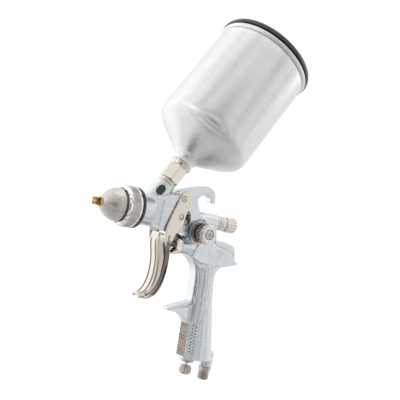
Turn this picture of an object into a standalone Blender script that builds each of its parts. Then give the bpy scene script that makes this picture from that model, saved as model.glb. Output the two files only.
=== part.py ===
"""Gravity-feed HVLP spray gun.

The barrel lies along X with the air cap towards -X, the grip hangs towards -Z and the gun's left side
faces -Y. The object's origin is the crown of the hanging hook. All sizes below are in millimetres in the
barrel's own frame, whose origin is where the cup's axis meets the barrel's axis.
"""
import math

import bmesh
import bpy
from mathutils import Matrix, Vector

MM = 0.001
GAP = 0.3                      # clearance between pieces that rest on or in each other

# Hanging hook: its crown is the object's origin
HOOK_CROWN_X = 60.0
HOOK_CROWN_Z = 23.2
HOOK_WIDTH = 7.6
HOOK_SPAN = 15.2               # clear width inside the hook
HOOK_THICKNESS = 4.9           # of the hook's free end

# Head and barrel
HEAD_R = 14.0
HEAD_FRONT_X = -10.5
HEAD_LENGTH = 12.0
SPIGOT_R = 13.2
SPIGOT_LENGTH = 9.5
BLOCK_WIDTH = 22.0             # flat-sided middle of the casting
REAR_BARREL_R = 7.6
REAR_END_X = 81.0

# Nozzle group
RING_R = 17.9
RING_LENGTH = 13.2
RING_MOUTH_R = 15.4
BAFFLE_THICKNESS = 2.9
CAP_LENGTH = 20.6              # from the ring's lip to the cap's face
CAP_FACE_R = 4.7
CAP_DOME_R = 14.7
HORN_LENGTH = 5.1
HORN_HEIGHT = 6.2
NEEDLE_R = 1.25
NOZZLE_STEM_R = 5.5
NOZZLE_ORIFICE_R = 0.75

# Cup and its fittings, measured along the cup's axis from the barrel's axis
CUP_LEAN_DEG = 58.3            # of the cup's axis above the barrel's axis, leaning backwards
CUP_R = 46.0
CUP_WALL = 1.4
CUP_BOTTOM_S = 61.0            # where the cone starts
CUP_CONE_HEIGHT = 27.0
CUP_SIDE_HEIGHT = 95.6
CUP_NECK_R = 10.1
CUP_OUTLET_R = 5.0
BOSS_TOP_S = 30.0
BOSS_R = 9.3
NIPPLE_COLLAR_R = 8.75
NIPPLE_COLLAR_HEIGHT = 3.5
CUP_NUT_LENGTH = 20.0
CUP_NUT_R = 9.7                # across the hexagon's corners, halved
CUP_NUT_FLANGE_R = 10.6
CUP_NUT_TURN_DEG = 5.0
LID_OVERHANG = 2.4             # of the lid's edge beyond the cup's side
LID_HEIGHT = 5.4
LID_SKIRT = 8.6

# Window for the trigger's crossbar, and the needle's fittings behind it
WINDOW_X0 = 23.0
WINDOW_X1 = 43.0
WINDOW_Z0 = -7.0
WINDOW_Z1 = 6.0
PACKING_BORE_R = 3.9
PACKING_LENGTH = 3.5
SPRING_BORE_R = 5.0
BUSHING_BORE_R = 6.1
BUSHING_DEPTH = 13.5

# Air valve, below the needle
VALVE_Z = -25.4
VALVE_FRONT_X = 43.4
VALVE_BORE_R = 6.5
VALVE_BORE_END_X = 100.0
VALVE_HOUSING_R = 8.4
VALVE_NUT_R = 10.1             # across the hexagon's corners, halved
VALVE_NUT_LENGTH = 6.9
VALVE_STEM_R = 2.8

# Fan valve, across the body, its knob on the left side
FAN_X = 56.8
FAN_Z = -11.1
FAN_BORE_R = 4.2
FAN_BOSS_R = 11.0
FAN_FACE_Y = -11.5
FAN_NUT_R = 10.4
FAN_KNOB_R = 9.2
FAN_KNOB_LENGTH = 9.5

# Fluid knob, on the needle's axis
FLUID_KNOB_R = 7.5
FLUID_KNOB_NECK_R = 6.6
FLUID_KNOB_X0 = 84.0
FLUID_KNOB_LENGTH = 20.6
FLUID_KNOB_NECK = 7.7

# Grip
GRIP_BOTTOM_Z = -130.0
GRIP_FLAT = 5.0                # half-width of the grip's flat front
GUARD_WIDTH = 9.6

# Fittings under the grip
MICRO_X = 82.0
MICRO_COLLAR_R = 6.5
MICRO_KNOB_R = 5.9
MICRO_KNOB_LENGTH = 8.4
MICRO_BORE_R = 4.8
INLET_X = 105.5
INLET_BOSS_R = 6.6
INLET_BOSS_Z = -137.0
INLET_R = 5.5
INLET_BORE_R = 3.0
INLET_LENGTH = 12.4
AIR_DUCT_R = 3.0

# Valve stems: the knob turns on the stem, and the stem slides by one pitch for each turn
STEM_R = 2.1
STEM_SLEEVE_R = 2.4

# Trigger
PIVOT_X = 30.5
PIVOT_Z = 16.0
PIVOT_R = 2.6
PLATE_THICKNESS = 1.5
PLATE_CLEARANCE = 0.6          # between a plate and the flat side of the body
BLADE_THICKNESS = 1.8
CROSSBAR_X = 31.0
CROSSBAR_R = 4.5
CROSSBAR_END_R = 2.6

# Inlay in the cup boss
INLAY_ANGLE_DEG = 30.0         # of the boss's inlay, forward of the gun's left side
INLAY_S = 20.5
INLAY_LENGTH = 9.6
INLAY_WIDTH = 6.6

# Grip levels down its length: the front's x, the back's x and the half-width at each height
GRIP_FRONT = [(-16.6, 50), (-33, 52), (-35.5, 57), (-38.5, 61), (-43, 64.5), (-50, 66.8), (-57.6, 67.8),
              (-74, 68.4), (-94, 68.8), (-97, 69.6), (-115, 70.6), (-130, 71.6)]
GRIP_REAR = [(-16.6, 99), (-18.2, 104.5), (-20, 108), (-24, 109.8), (-30.8, 111.6), (-33, 113.4),
             (-35, 118.8), (-36.6, 117.2), (-38, 108.5), (-39.6, 102.5), (-42, 97), (-45, 93.8),
             (-50, 91.8), (-55, 91.6), (-63, 93), (-72, 94.9), (-100, 101.8), (-126, 108.2), (-130, 109)]
GRIP_HALF_WIDTH = [(-16.6, 8.6), (-20, 9.6), (-30, 9.8), (-36, 9.4), (-45, 10.4), (-57, 11.2),
                   (-75, 11.6), (-100, 12), (-130, 12)]
GRIP_STATIONS = [-16.6, -18.2, -20, -24, -30.8, -33, -35, -36.6, -38, -39.6,
                 -42, -45, -50, -57.6, -74, -94, -97, -115, -126, -130]
REAR_ANGLES_DEG = (0, 26, 50, 72)

# Flat-sided housing behind the air valve, seen from the side
HOUSING = [(62, -17.0), (78.3, -16.6), (90.8, -16.8), (101.3, -17.9), (104.7, -20.9),
           (106.2, -26), (107.5, -31.3), (109.0, -33.2), (112.4, -34.6), (110.2, -36.3),
           (104, -37.8), (98.1, -39.1), (88, -40), (66, -38), (56, -34)]
HOUSING_WIDTH = 18.8

# Blade stations down the trigger: front point x, z, half-width of the front, how far the flanges reach back,
# and the half-width of the flanges' free edges
BLADE = [
    (18.6, -17.0, 6.0, 5.5, 12.9), (17.7, -22.0, 6.0, 6.5, 12.9), (17.6, -26.0, 5.8, 7.8, 12.2),
    (18.6, -31.0, 5.6, 8.8, 10.6), (20.2, -36.5, 5.5, 9.2, 9.0), (21.3, -42.0, 5.5, 9.0, 8.0),
    (21.8, -48.0, 5.5, 8.8, 7.4), (21.9, -54.0, 5.5, 8.4, 7.2), (21.2, -60.0, 5.5, 8.0, 7.0),
    (19.6, -65.5, 5.5, 7.4, 6.8), (17.2, -70.0, 5.4, 6.4, 6.4), (14.4, -73.0, 5.0, 4.4, 5.8),
    (11.4, -74.5, 4.2, 2.4, 4.8), (8.8, -75.0, 3.0, 1.4, 3.4),
]

CUP_AXIS = Vector((math.cos(math.radians(CUP_LEAN_DEG)), 0.0, math.sin(math.radians(CUP_LEAN_DEG))))
X_AXIS = Vector((1.0, 0.0, 0.0))
Y_AXIS = Vector((0.0, 1.0, 0.0))
Z_AXIS = Vector((0.0, 0.0, 1.0))
PLATE_Y = BLOCK_WIDTH / 2 + PLATE_CLEARANCE
LID_R = CUP_R + LID_OVERHANG
CUP_RIM_S = CUP_BOTTOM_S + CUP_CONE_HEIGHT + CUP_SIDE_HEIGHT
NUT_BOTTOM_S = BOSS_TOP_S + GAP + NIPPLE_COLLAR_HEIGHT + GAP
NUT_TOP_S = NUT_BOTTOM_S + CUP_NUT_LENGTH
RING_REAR_X = HEAD_FRONT_X - 2 * GAP - BAFFLE_THICKNESS
RING_FRONT_X = RING_REAR_X - RING_LENGTH
CAP_FACE_X = RING_FRONT_X - CAP_LENGTH + 2.0

parts = None
cutters = None
frame = None


# ---------------------------------------------------------------- scene and materials

def clear_scene():
    for obj in list(bpy.data.objects):
        bpy.data.objects.remove(obj, do_unlink=True)


def new_collection(name):
    collection = bpy.data.collections.new(name)
    bpy.context.scene.collection.children.link(collection)
    return collection


def make_material(name, colour, metallic, roughness):
    material = bpy.data.materials.new(name)
    material.use_nodes = True
    shader = material.node_tree.nodes["Principled BSDF"]
    shader.inputs["Base Color"].default_value = (*colour, 1.0)
    shader.inputs["Metallic"].default_value = metallic
    shader.inputs["Roughness"].default_value = roughness
    return material


def make_finishes():
    return {
        "satin": make_material("satin_casting", (0.60, 0.63, 0.66), 0.9, 0.38),
        "nickel": make_material("bright_nickel", (0.72, 0.68, 0.62), 1.0, 0.12),
        "dark_nickel": make_material("knurled_nickel", (0.55, 0.50, 0.49), 1.0, 0.32),
        "brass": make_material("brass", (0.62, 0.42, 0.16), 1.0, 0.25),
        "steel": make_material("stainless_steel", (0.62, 0.62, 0.62), 1.0, 0.25),
        "spring": make_material("spring_steel", (0.45, 0.45, 0.46), 1.0, 0.35),
        "aluminium": make_material("brushed_aluminium", (0.78, 0.78, 0.77), 1.0, 0.35),
        "black": make_material("black_plastic", (0.03, 0.03, 0.03), 0.0, 0.35),
        "rubber": make_material("rubber", (0.02, 0.02, 0.02), 0.0, 0.7),
        "ptfe": make_material("ptfe", (0.85, 0.85, 0.82), 0.0, 0.5),
    }


# ---------------------------------------------------------------- building blocks

def aim(direction):
    """The rotation that turns an object's local Z along a direction."""
    return Z_AXIS.rotation_difference(Vector(direction)).to_euler()


def add_object(name, data, at, direction=Z_AXIS, finish=None, cutter=False):
    """Place mesh or curve data with its local Z along direction, at a point of the barrel's frame."""
    obj = bpy.data.objects.new(name, data)
    (cutters if cutter else parts).objects.link(obj)
    obj.parent = frame
    obj.location = Vector(at) * MM
    obj.rotation_euler = aim(direction)
    if finish:
        data.materials.append(finish)
    if cutter:
        obj.hide_render = True
        obj.display_type = "WIRE"
    return obj


def turned(name, profile, at=(0, 0, 0), along=Z_AXIS, finish=None, steps=18, cutter=False):
    """A turned piece from (radius, height) pairs; a profile that stays off the axis closes on itself."""
    ring = profile[0][0] > 0
    outline = profile if ring else [(0, profile[0][1])] + profile[1:-1] + [(0, profile[-1][1])]
    area = sum(a[0] * b[1] - b[0] * a[1] for a, b in zip(outline, outline[1:] + outline[:1]))
    if area > 0:
        outline = outline[::-1]
    count = len(outline)
    edges = [(i, (i + 1) % count) for i in range(count if ring else count - 1)]
    mesh = bpy.data.meshes.new(name)
    mesh.from_pydata([(r * MM, 0, h * MM) for r, h in outline], edges, [])
    obj = add_object(name, mesh, at, along, finish, cutter)
    screw = obj.modifiers.new("turn", "SCREW")
    screw.axis = "Z"
    screw.steps = steps
    screw.render_steps = steps
    screw.use_merge_vertices = True
    screw.merge_threshold = 0.00001
    screw.use_smooth_shade = True
    return obj


def cylinder(name, radius, start, end, at, along, finish=None, steps=16, cutter=True):
    """A plain rod from start to end along the direction, measured from the point."""
    profile = [(0, end), (radius, end), (radius, start), (0, start)]
    return turned(name, profile, at, along, finish, steps, cutter)


def outline_mesh(name, points, half_width, at, normal_is_y=True, bevel=0.0, finish=None, cutter=True):
    """A flat outline of (x, z) points extruded across Y, or of (x, y) points extruded along Z."""
    curve = bpy.data.curves.new(name + "_outline", "CURVE")
    curve.dimensions = "2D"
    curve.fill_mode = "BOTH"
    curve.extrude = half_width * MM
    spline = curve.splines.new("POLY")
    spline.points.add(len(points) - 1)
    for point, (x, y) in zip(spline.points, points):
        point.co = (x * MM, y * MM, 0, 1)
    spline.use_cyclic_u = True
    sketch = add_object(name + "_outline", curve, at, Z_AXIS, cutter=True)
    sketch.rotation_euler = (math.pi / 2, 0, 0) if normal_is_y else (0, 0, 0)
    return mesh_from_curve(sketch, name, bevel, finish, cutter)


def mesh_from_curve(sketch, name, bevel, finish, cutter):
    """A curve as a closed mesh in the same place, with its caps welded and its edges rounded."""
    bpy.context.view_layer.update()
    graph = bpy.context.evaluated_depsgraph_get()
    mesh = bpy.data.meshes.new_from_object(sketch.evaluated_get(graph))
    mesh.name = name
    shape = bmesh.new()
    shape.from_mesh(mesh)
    bmesh.ops.remove_doubles(shape, verts=shape.verts, dist=0.000001)
    bmesh.ops.recalc_face_normals(shape, faces=shape.faces)
    shape.to_mesh(mesh)
    shape.free()
    mesh.materials.clear()
    obj = add_object(name, mesh, (0, 0, 0), Z_AXIS, finish, cutter)
    obj.location = sketch.location
    obj.rotation_euler = sketch.rotation_euler
    curve = sketch.data
    bpy.data.objects.remove(sketch, do_unlink=True)
    bpy.data.curves.remove(curve)
    if bevel:
        rounding = obj.modifiers.new("round", "BEVEL")
        rounding.width = bevel * MM
        rounding.segments = 1
        rounding.limit_method = "ANGLE"
        rounding.angle_limit = math.radians(40)
    return obj


def prism(name, sides, radius, start, end, at, along, chamfer=0.0, turn=0.0, cutter=True, finish=None):
    """A bar with flat sides, its corners at the radius, with chamfered ends."""
    mesh = bpy.data.meshes.new(name)
    shape = bmesh.new()
    bmesh.ops.create_cone(
        shape, cap_ends=True, segments=sides, radius1=radius * MM, radius2=radius * MM,
        depth=(end - start) * MM, matrix=Matrix.Translation((0, 0, (start + end) / 2 * MM)),
    )
    bmesh.ops.rotate(shape, verts=shape.verts, matrix=Matrix.Rotation(turn, 3, "Z"))
    shape.to_mesh(mesh)
    shape.free()
    obj = add_object(name, mesh, at, along, finish, cutter)
    if chamfer:
        rounding = obj.modifiers.new("chamfer", "BEVEL")
        rounding.width = chamfer * MM
        rounding.segments = 1
        rounding.limit_method = "ANGLE"
        rounding.angle_limit = math.radians(70)
    return obj


def box(name, low, high, cutter=True):
    """A block between two corners of the barrel's frame."""
    centre = [(a + b) / 2 for a, b in zip(low, high)]
    size = [(b - a) * MM for a, b in zip(low, high)]
    mesh = bpy.data.meshes.new(name)
    shape = bmesh.new()
    bmesh.ops.create_cube(shape, size=1.0, matrix=Matrix.Diagonal((*size, 1.0)))
    shape.to_mesh(mesh)
    shape.free()
    obj = add_object(name, mesh, (0, 0, 0), Z_AXIS, None, cutter)
    obj.location = Vector(centre) * MM
    return obj


def combine(target, tools, operation, solver="EXACT"):
    for tool in tools:
        boolean = target.modifiers.new(tool.name, "BOOLEAN")
        boolean.operation = operation
        boolean.solver = solver
        boolean.object = tool
    return target


def join(target, *tools):
    return combine(target, tools, "UNION")


def cut(target, *tools):
    return combine(target, tools, "DIFFERENCE")


def fluted_outline(radius, depth, count):
    """Points round a knob whose rim is scalloped by the given number of flutes."""
    steps = count * 2
    points = []
    for i in range(steps):
        angle = 2 * math.pi * i / steps
        dip = depth if i % 2 else 0.0
        points.append(((radius - dip) * math.cos(angle), (radius - dip) * math.sin(angle)))
    return points


def between(table, value):
    """Linear reading of a table of (key, value) pairs with falling keys."""
    for (k0, v0), (k1, v1) in zip(table, table[1:]):
        if k0 >= value >= k1:
            return v0 + (v1 - v0) * (k0 - value) / (k0 - k1)
    return table[0][1] if value > table[0][0] else table[-1][1]


def loft(name, sections, cutter=True, at=(0, 0, 0), finish=None):
    """A closed body through rings of points that all have the same count."""
    origin = Vector(at)
    shape = bmesh.new()
    rings = [[shape.verts.new((Vector(p) - origin) * MM) for p in ring] for ring in sections]
    count = len(rings[0])
    for lower, upper in zip(rings, rings[1:]):
        for i in range(count):
            j = (i + 1) % count
            shape.faces.new((lower[i], lower[j], upper[j], upper[i]))
    shape.faces.new(rings[0][::-1])
    shape.faces.new(rings[-1])
    bmesh.ops.recalc_face_normals(shape, faces=shape.faces)
    mesh = bpy.data.meshes.new(name)
    shape.to_mesh(mesh)
    shape.free()
    return add_object(name, mesh, at, Z_AXIS, finish, cutter)


def coil(name, radius, wire_r, turns, start, end, at, along, finish):
    """A compression spring wound round a line."""
    per_turn = 8
    steps = turns * per_turn
    curve = bpy.data.curves.new(name + "_wire", "CURVE")
    curve.dimensions = "3D"
    curve.bevel_depth = wire_r * MM
    curve.bevel_resolution = 1
    curve.use_fill_caps = True
    spline = curve.splines.new("POLY")
    spline.points.add(steps)
    for i, point in enumerate(spline.points):
        angle = 2 * math.pi * i / per_turn
        height = start + (end - start) * i / steps
        point.co = (radius * MM * math.cos(angle), radius * MM * math.sin(angle), height * MM, 1)
    sketch = add_object(name + "_wire", curve, at, along, cutter=True)
    return mesh_from_curve(sketch, name, 0.0, finish, False)


# ---------------------------------------------------------------- casting

def hook_points():
    """The web from the head to the hook, and the hook, seen from the side."""
    x, z = HOOK_CROWN_X, HOOK_CROWN_Z
    inner = x + HOOK_SPAN * 0.55
    outer = inner + HOOK_THICKNESS
    return [
        (12, 12), (16, 18.6), (24.5, 20.0), (28, 22.2), (35.5, 24.9), (44, 27.4),
        (x - 5, z + 7), (x + 3.4, z + 8.2), (x + 8, z + 7),
        (outer - 1.6, z + 3.6), (outer, z - 1.2), (outer + 0.2, z - 5.2),
        (outer - 1.0, z - 6.3), (inner + 1.0, z - 6.3), (inner, z - 5.2), (inner - 0.3, z - 3),
        (inner - 2, z - 0.8), (x + 3, z), (x, z), (x - 3, z - 1.4), (x - 6.4, z - 4), (x - 6.8, z - 7.2),
        (x - 4.5, z - 10.7), (x - 2, z - 15.5), (x, -2), (20, -2), (12, 4),
    ]


def block_points():
    """The flat-sided middle of the casting between the head and the air valve's housing."""
    return [
        (1.5, -13.2), (10, -14.2), (18.4, -15.6), (29, -14.8), (33, -14.2), (45, -14.2), (53, -18), (62, -18),
        (62, 3), (50, 6.4), (44, 9), (40, 16), (35, 18), (16, 17.5), (6, 13), (1.5, 8),
    ]


def grip_section(z):
    """One level of the grip: a flat front, bulging sides and a round back."""
    front, rear, half = (between(t, z) for t in (GRIP_FRONT, GRIP_REAR, GRIP_HALF_WIDTH))
    depth = rear - front
    middle = front + 0.52 * depth
    side = [(front, GRIP_FLAT), (front + 1.2, GRIP_FLAT + 1.9),
            (front + 0.20 * depth, 0.82 * half), (front + 0.36 * depth, 0.96 * half)]
    for angle in REAR_ANGLES_DEG:
        turn = math.radians(angle)
        side.append((middle + (rear - middle) * math.sin(turn), half * math.cos(turn)))
    return [(x, y, z) for x, y in side] + [(rear, 0, z)] + [(x, -y, z) for x, y in reversed(side)]


def guard_points():
    """The finger guard's spur, seen from the side."""
    return [(76, -74.5), (70, -75), (63.2, -77.2), (52.3, -80.8), (44.6, -83.2), (42.8, -84.6), (44.4, -86),
            (55.6, -87.4), (61, -89.4), (66.5, -93.5), (70, -97.5), (76, -98)]


def make_body(finish):
    body = loft("gun_body", [grip_section(z) for z in GRIP_STATIONS], cutter=False, finish=finish)
    head_rear = HEAD_FRONT_X + HEAD_LENGTH
    head = turned("head_shape", [
        (0, 26), (9, 26), (10.5, head_rear + 2.4), (HEAD_R - 0.6, head_rear + 0.4), (HEAD_R, head_rear),
        (HEAD_R, HEAD_FRONT_X + 0.8),
        (HEAD_R - 0.8, HEAD_FRONT_X), (SPIGOT_R, HEAD_FRONT_X), (SPIGOT_R, HEAD_FRONT_X - SPIGOT_LENGTH),
        (0, HEAD_FRONT_X - SPIGOT_LENGTH)], along=X_AXIS, steps=24, cutter=True)
    block = outline_mesh("block_shape", block_points(), BLOCK_WIDTH / 2, (0, 0, 0), bevel=1.6)
    hook = outline_mesh("hook_shape", hook_points(), HOOK_WIDTH / 2, (0, 0, 0), bevel=1.5)
    guard = outline_mesh("guard_shape", guard_points(), GUARD_WIDTH / 2, (0, 0, 0), bevel=1.4)
    barrel = turned("barrel_shape", [
        (0, REAR_END_X), (REAR_BARREL_R - 0.6, REAR_END_X), (REAR_BARREL_R, REAR_END_X - 0.8),
        (REAR_BARREL_R, 40), (0, 40)], along=X_AXIS, cutter=True)
    waist = outline_mesh("waist_shape", [(47, 0.9), (REAR_END_X - 2.2, 0.9), (REAR_END_X - 1.1, -8),
                                         (83.3, -18.9), (47, -18.9)], 7.2, (0, 0, 0), bevel=1.1)
    cup_boss = turned("boss_shape", [
        (0, BOSS_TOP_S), (BOSS_R - 0.7, BOSS_TOP_S), (BOSS_R, BOSS_TOP_S - 0.8), (BOSS_R + 0.6, 14),
        (BOSS_R + 1.6, 6), (0, 6)], along=CUP_AXIS, cutter=True)
    boss_end = PLATE_Y - GAP
    pivot_boss = cylinder("pivot_boss_shape", 5.6, -boss_end, boss_end, (PIVOT_X, 0, PIVOT_Z), Y_AXIS)
    valve_housing = cylinder("valve_housing_shape", VALVE_HOUSING_R, VALVE_FRONT_X, 64,
                             (0, 0, VALVE_Z), X_AXIS)
    fan_boss = cylinder("fan_boss_shape", FAN_BOSS_R, FAN_FACE_Y, 9.0, (FAN_X, 0, FAN_Z), Y_AXIS)
    inlet_boss = cylinder("inlet_boss_shape", INLET_BOSS_R, INLET_BOSS_Z, GRIP_BOTTOM_Z + 8,
                          (INLET_X, 0, 0), Z_AXIS)
    # Exact booleans leave open edges in the casting, so it uses manifold ones
    housing = outline_mesh("housing_shape", HOUSING, HOUSING_WIDTH / 2, (0, 0, 0), bevel=1.2)
    shapes = (head, block, hook, guard, barrel, waist, housing, cup_boss, pivot_boss, valve_housing, fan_boss,
              inlet_boss)
    combine(body, shapes, "UNION", "MANIFOLD")
    combine(body, body_bores(), "DIFFERENCE", "MANIFOLD")
    return body


def body_bores():
    """Every bore, duct and pocket in the casting."""
    nozzle_end = -3.0
    spring_end = REAR_END_X - BUSHING_DEPTH
    axis_bore = turned("axis_bore", [
        (0, WINDOW_X0 + 1), (PACKING_BORE_R, WINDOW_X0 + 1), (PACKING_BORE_R, 5), (2.6, 5),
        (2.6, nozzle_end), (NOZZLE_STEM_R + GAP, nozzle_end), (NOZZLE_STEM_R + GAP, -25), (0, -25)],
        along=X_AXIS, cutter=True)
    rear_bore = turned("rear_bore", [
        (0, REAR_END_X + 1), (BUSHING_BORE_R, REAR_END_X + 1), (BUSHING_BORE_R, spring_end),
        (SPRING_BORE_R, spring_end), (SPRING_BORE_R, WINDOW_X1 - 1), (0, WINDOW_X1 - 1)],
        along=X_AXIS, cutter=True)
    window = outline_mesh("window_cut", [
        (WINDOW_X0, WINDOW_Z0 + 1.5), (WINDOW_X0 + 1.5, WINDOW_Z0), (WINDOW_X1 - 2, WINDOW_Z0),
        (WINDOW_X1, WINDOW_Z0 + 2), (WINDOW_X1, WINDOW_Z1 - 3), (WINDOW_X1 - 3, WINDOW_Z1),
        (WINDOW_X0 + 1.5, WINDOW_Z1), (WINDOW_X0, WINDOW_Z1 - 1.5)], 20, (0, 0, 0))
    cup_bore = turned("cup_bore", [
        (0, BOSS_TOP_S + 1), (5.9, BOSS_TOP_S + 1), (5.9, 13), (2.5, 13), (2.5, 1), (0, 1)],
        along=CUP_AXIS, cutter=True)
    valve_bore = cylinder("valve_bore", VALVE_BORE_R, VALVE_FRONT_X - 1, VALVE_BORE_END_X,
                          (0, 0, VALVE_Z), X_AXIS)
    fan_bore = cylinder("fan_bore", FAN_BORE_R, FAN_FACE_Y - 1, 5.0, (FAN_X, 0, FAN_Z), Y_AXIS, steps=16)
    pivot_bore = cylinder("pivot_bore", PIVOT_R + GAP, -16, 16, (PIVOT_X, 0, PIVOT_Z), Y_AXIS, steps=16)
    micro_bore = turned("micro_bore", [
        (0, VALVE_Z - 3), (AIR_DUCT_R, VALVE_Z - 3), (AIR_DUCT_R, GRIP_BOTTOM_Z + 12),
        (MICRO_BORE_R, GRIP_BOTTOM_Z + 12), (MICRO_BORE_R, GRIP_BOTTOM_Z - 1), (0, GRIP_BOTTOM_Z - 1)],
        at=(MICRO_X, 0, 0), cutter=True, steps=16)
    inlet_bore = cylinder("inlet_bore", INLET_R - 0.2 + GAP, INLET_BOSS_Z - 1, GRIP_BOTTOM_Z + 7,
                          (INLET_X, 0, 0), Z_AXIS, steps=16)
    duct_low = Vector((INLET_X, 0, GRIP_BOTTOM_Z + 6))
    duct_high = Vector((MICRO_X, 0, -76))
    duct = cylinder("inlet_duct", AIR_DUCT_R, 0, (duct_high - duct_low).length, duct_low,
                    duct_high - duct_low, steps=14)
    return (axis_bore, rear_bore, window, cup_bore, valve_bore, fan_bore, pivot_bore, micro_bore, inlet_bore,
            duct, inlay_pocket())


def inlay_shape(name, grow, depth, cutter, finish=None):
    """The capsule inlay in the cup boss, lying across the outward direction."""
    side = -Y_AXIS * math.cos(math.radians(INLAY_ANGLE_DEG))
    forward = Y_AXIS.cross(CUP_AXIS).normalized()
    if forward.x > 0:
        forward = -forward
    out = (side + forward * math.sin(math.radians(INLAY_ANGLE_DEG))).normalized()
    width = INLAY_WIDTH / 2 + grow
    straight = (INLAY_LENGTH - INLAY_WIDTH) / 2
    points = []
    for i in range(14):
        angle = math.pi * i / 13
        points.append((width * math.cos(angle), straight + width * math.sin(angle)))
    points += [(-x, -y) for x, y in points]
    at = CUP_AXIS * INLAY_S + out * (BOSS_R - 0.6)
    obj = outline_mesh(name, points, depth, at, normal_is_y=False, cutter=cutter, finish=finish)
    across = CUP_AXIS.cross(out)
    obj.rotation_euler = Matrix((across, CUP_AXIS, out)).transposed().to_euler()
    return obj


def inlay_pocket():
    return inlay_shape("inlay_pocket", GAP, 2.0, True)


def make_inlay(finish):
    inlay_shape("boss_inlay", 0.0, 1.0, False, finish)


# ---------------------------------------------------------------- nozzle group

def make_nozzle_group(look):
    x0, x1 = RING_FRONT_X, RING_REAR_X
    thread_r = SPIGOT_R + GAP
    turned("retaining_ring", [
        (RING_R, x1), (RING_R, x0 + 2.6), (RING_R - 0.5, x0 + 1.2), (RING_R - 1.6, x0),
        (RING_MOUTH_R, x0), (RING_MOUTH_R, x0 + 1.6), (RING_MOUTH_R + 0.9, x0 + 1.6),
        (RING_MOUTH_R + 0.9, x0 + 6.0), (thread_r, x0 + 7.0), (thread_r, x1)],
        along=X_AXIS, finish=look["dark_nickel"], steps=24)
    baffle_x1 = HEAD_FRONT_X - GAP
    turned("baffle_ring", [
        (RING_R - 0.2, baffle_x1), (RING_R + 0.1, baffle_x1 - 0.5), (RING_R + 0.1, x1 + GAP + 0.4),
        (RING_R - 0.3, x1 + GAP), (thread_r, x1 + GAP), (thread_r, baffle_x1)],
        along=X_AXIS, finish=look["black"], steps=24)
    make_air_cap(look)
    tip = CAP_FACE_X - 0.6
    stem_end = -3.6
    turned("fluid_nozzle", [
        (NOZZLE_ORIFICE_R, tip), (1.5, tip), (2.1, tip + 4), (5.2, tip + 11), (7.6, x0 - 2), (8.4, x0 + 1),
        (8.4, x0 + 4.6), (NOZZLE_STEM_R, x0 + 4.6), (NOZZLE_STEM_R, stem_end), (3.4, stem_end),
        (3.0, tip + 9), (NOZZLE_ORIFICE_R, tip + 2.5)], along=X_AXIS, finish=look["steel"], steps=18)


def make_air_cap(look):
    x0 = RING_FRONT_X
    face = CAP_FACE_X
    turned("air_cap", [
        (RING_MOUTH_R + 0.5, x0 + 5.2), (RING_MOUTH_R + 0.5, x0 + 2.0), (CAP_DOME_R - 0.8, x0 + 2.0),
        (CAP_DOME_R - 0.8, x0 - 1.2), (CAP_DOME_R, x0 - 2.2), (CAP_DOME_R - 0.3, x0 - 4.4),
        (CAP_DOME_R - 1.1, x0 - 7), (CAP_DOME_R - 2.4, x0 - 9.8), (CAP_DOME_R - 4.2, x0 - 12.4),
        (CAP_DOME_R - 6.4, x0 - 14.9), (CAP_DOME_R - 8.5, x0 - 17.0), (CAP_FACE_R, face + 0.5),
        (CAP_FACE_R - 0.5, face), (3.6, face), (3.6, face + 4.0), (5.4, face + 5.2),
        (CAP_DOME_R - 4.4, x0 - 8), (CAP_DOME_R - 2.6, x0), (CAP_DOME_R - 2.2, x0 + 5.2)],
        along=X_AXIS, finish=look["nickel"], steps=22)
    sleeve = turned("air_cap_horns", [
        (3.3, face + 3.6), (3.3, face - GAP), (CAP_FACE_R - 0.2, face - GAP),
        (CAP_FACE_R - 0.2, face - 1.2), (2.2, face - 1.2), (2.2, face - 0.2), (2.5, face + 3.6)],
        along=X_AXIS, finish=look["brass"], steps=16)
    horns = []
    tip = face - 1.2 - HORN_LENGTH + 0.6
    for side in (-1, 1):
        points = [(face - 0.5, 2.3 * side), (tip, 3.1 * side), (tip - 0.2, 4.2 * side),
                  (tip + 0.6, 4.9 * side), (face - 0.5, 4.45 * side)]
        horn = outline_mesh("horn_shape", points, HORN_HEIGHT / 2, (0, 0, 0), normal_is_y=False)
        jet = cylinder("jet_bore", 0.55, -6, 6, (tip + 1.6, 4 * side, 0), Vector((-0.6, -side, 0)), steps=8)
        horns += [(horn, jet)]
    for horn, jet in horns:
        join(sleeve, horn)
        cut(sleeve, jet)


# ---------------------------------------------------------------- needle line

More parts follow.
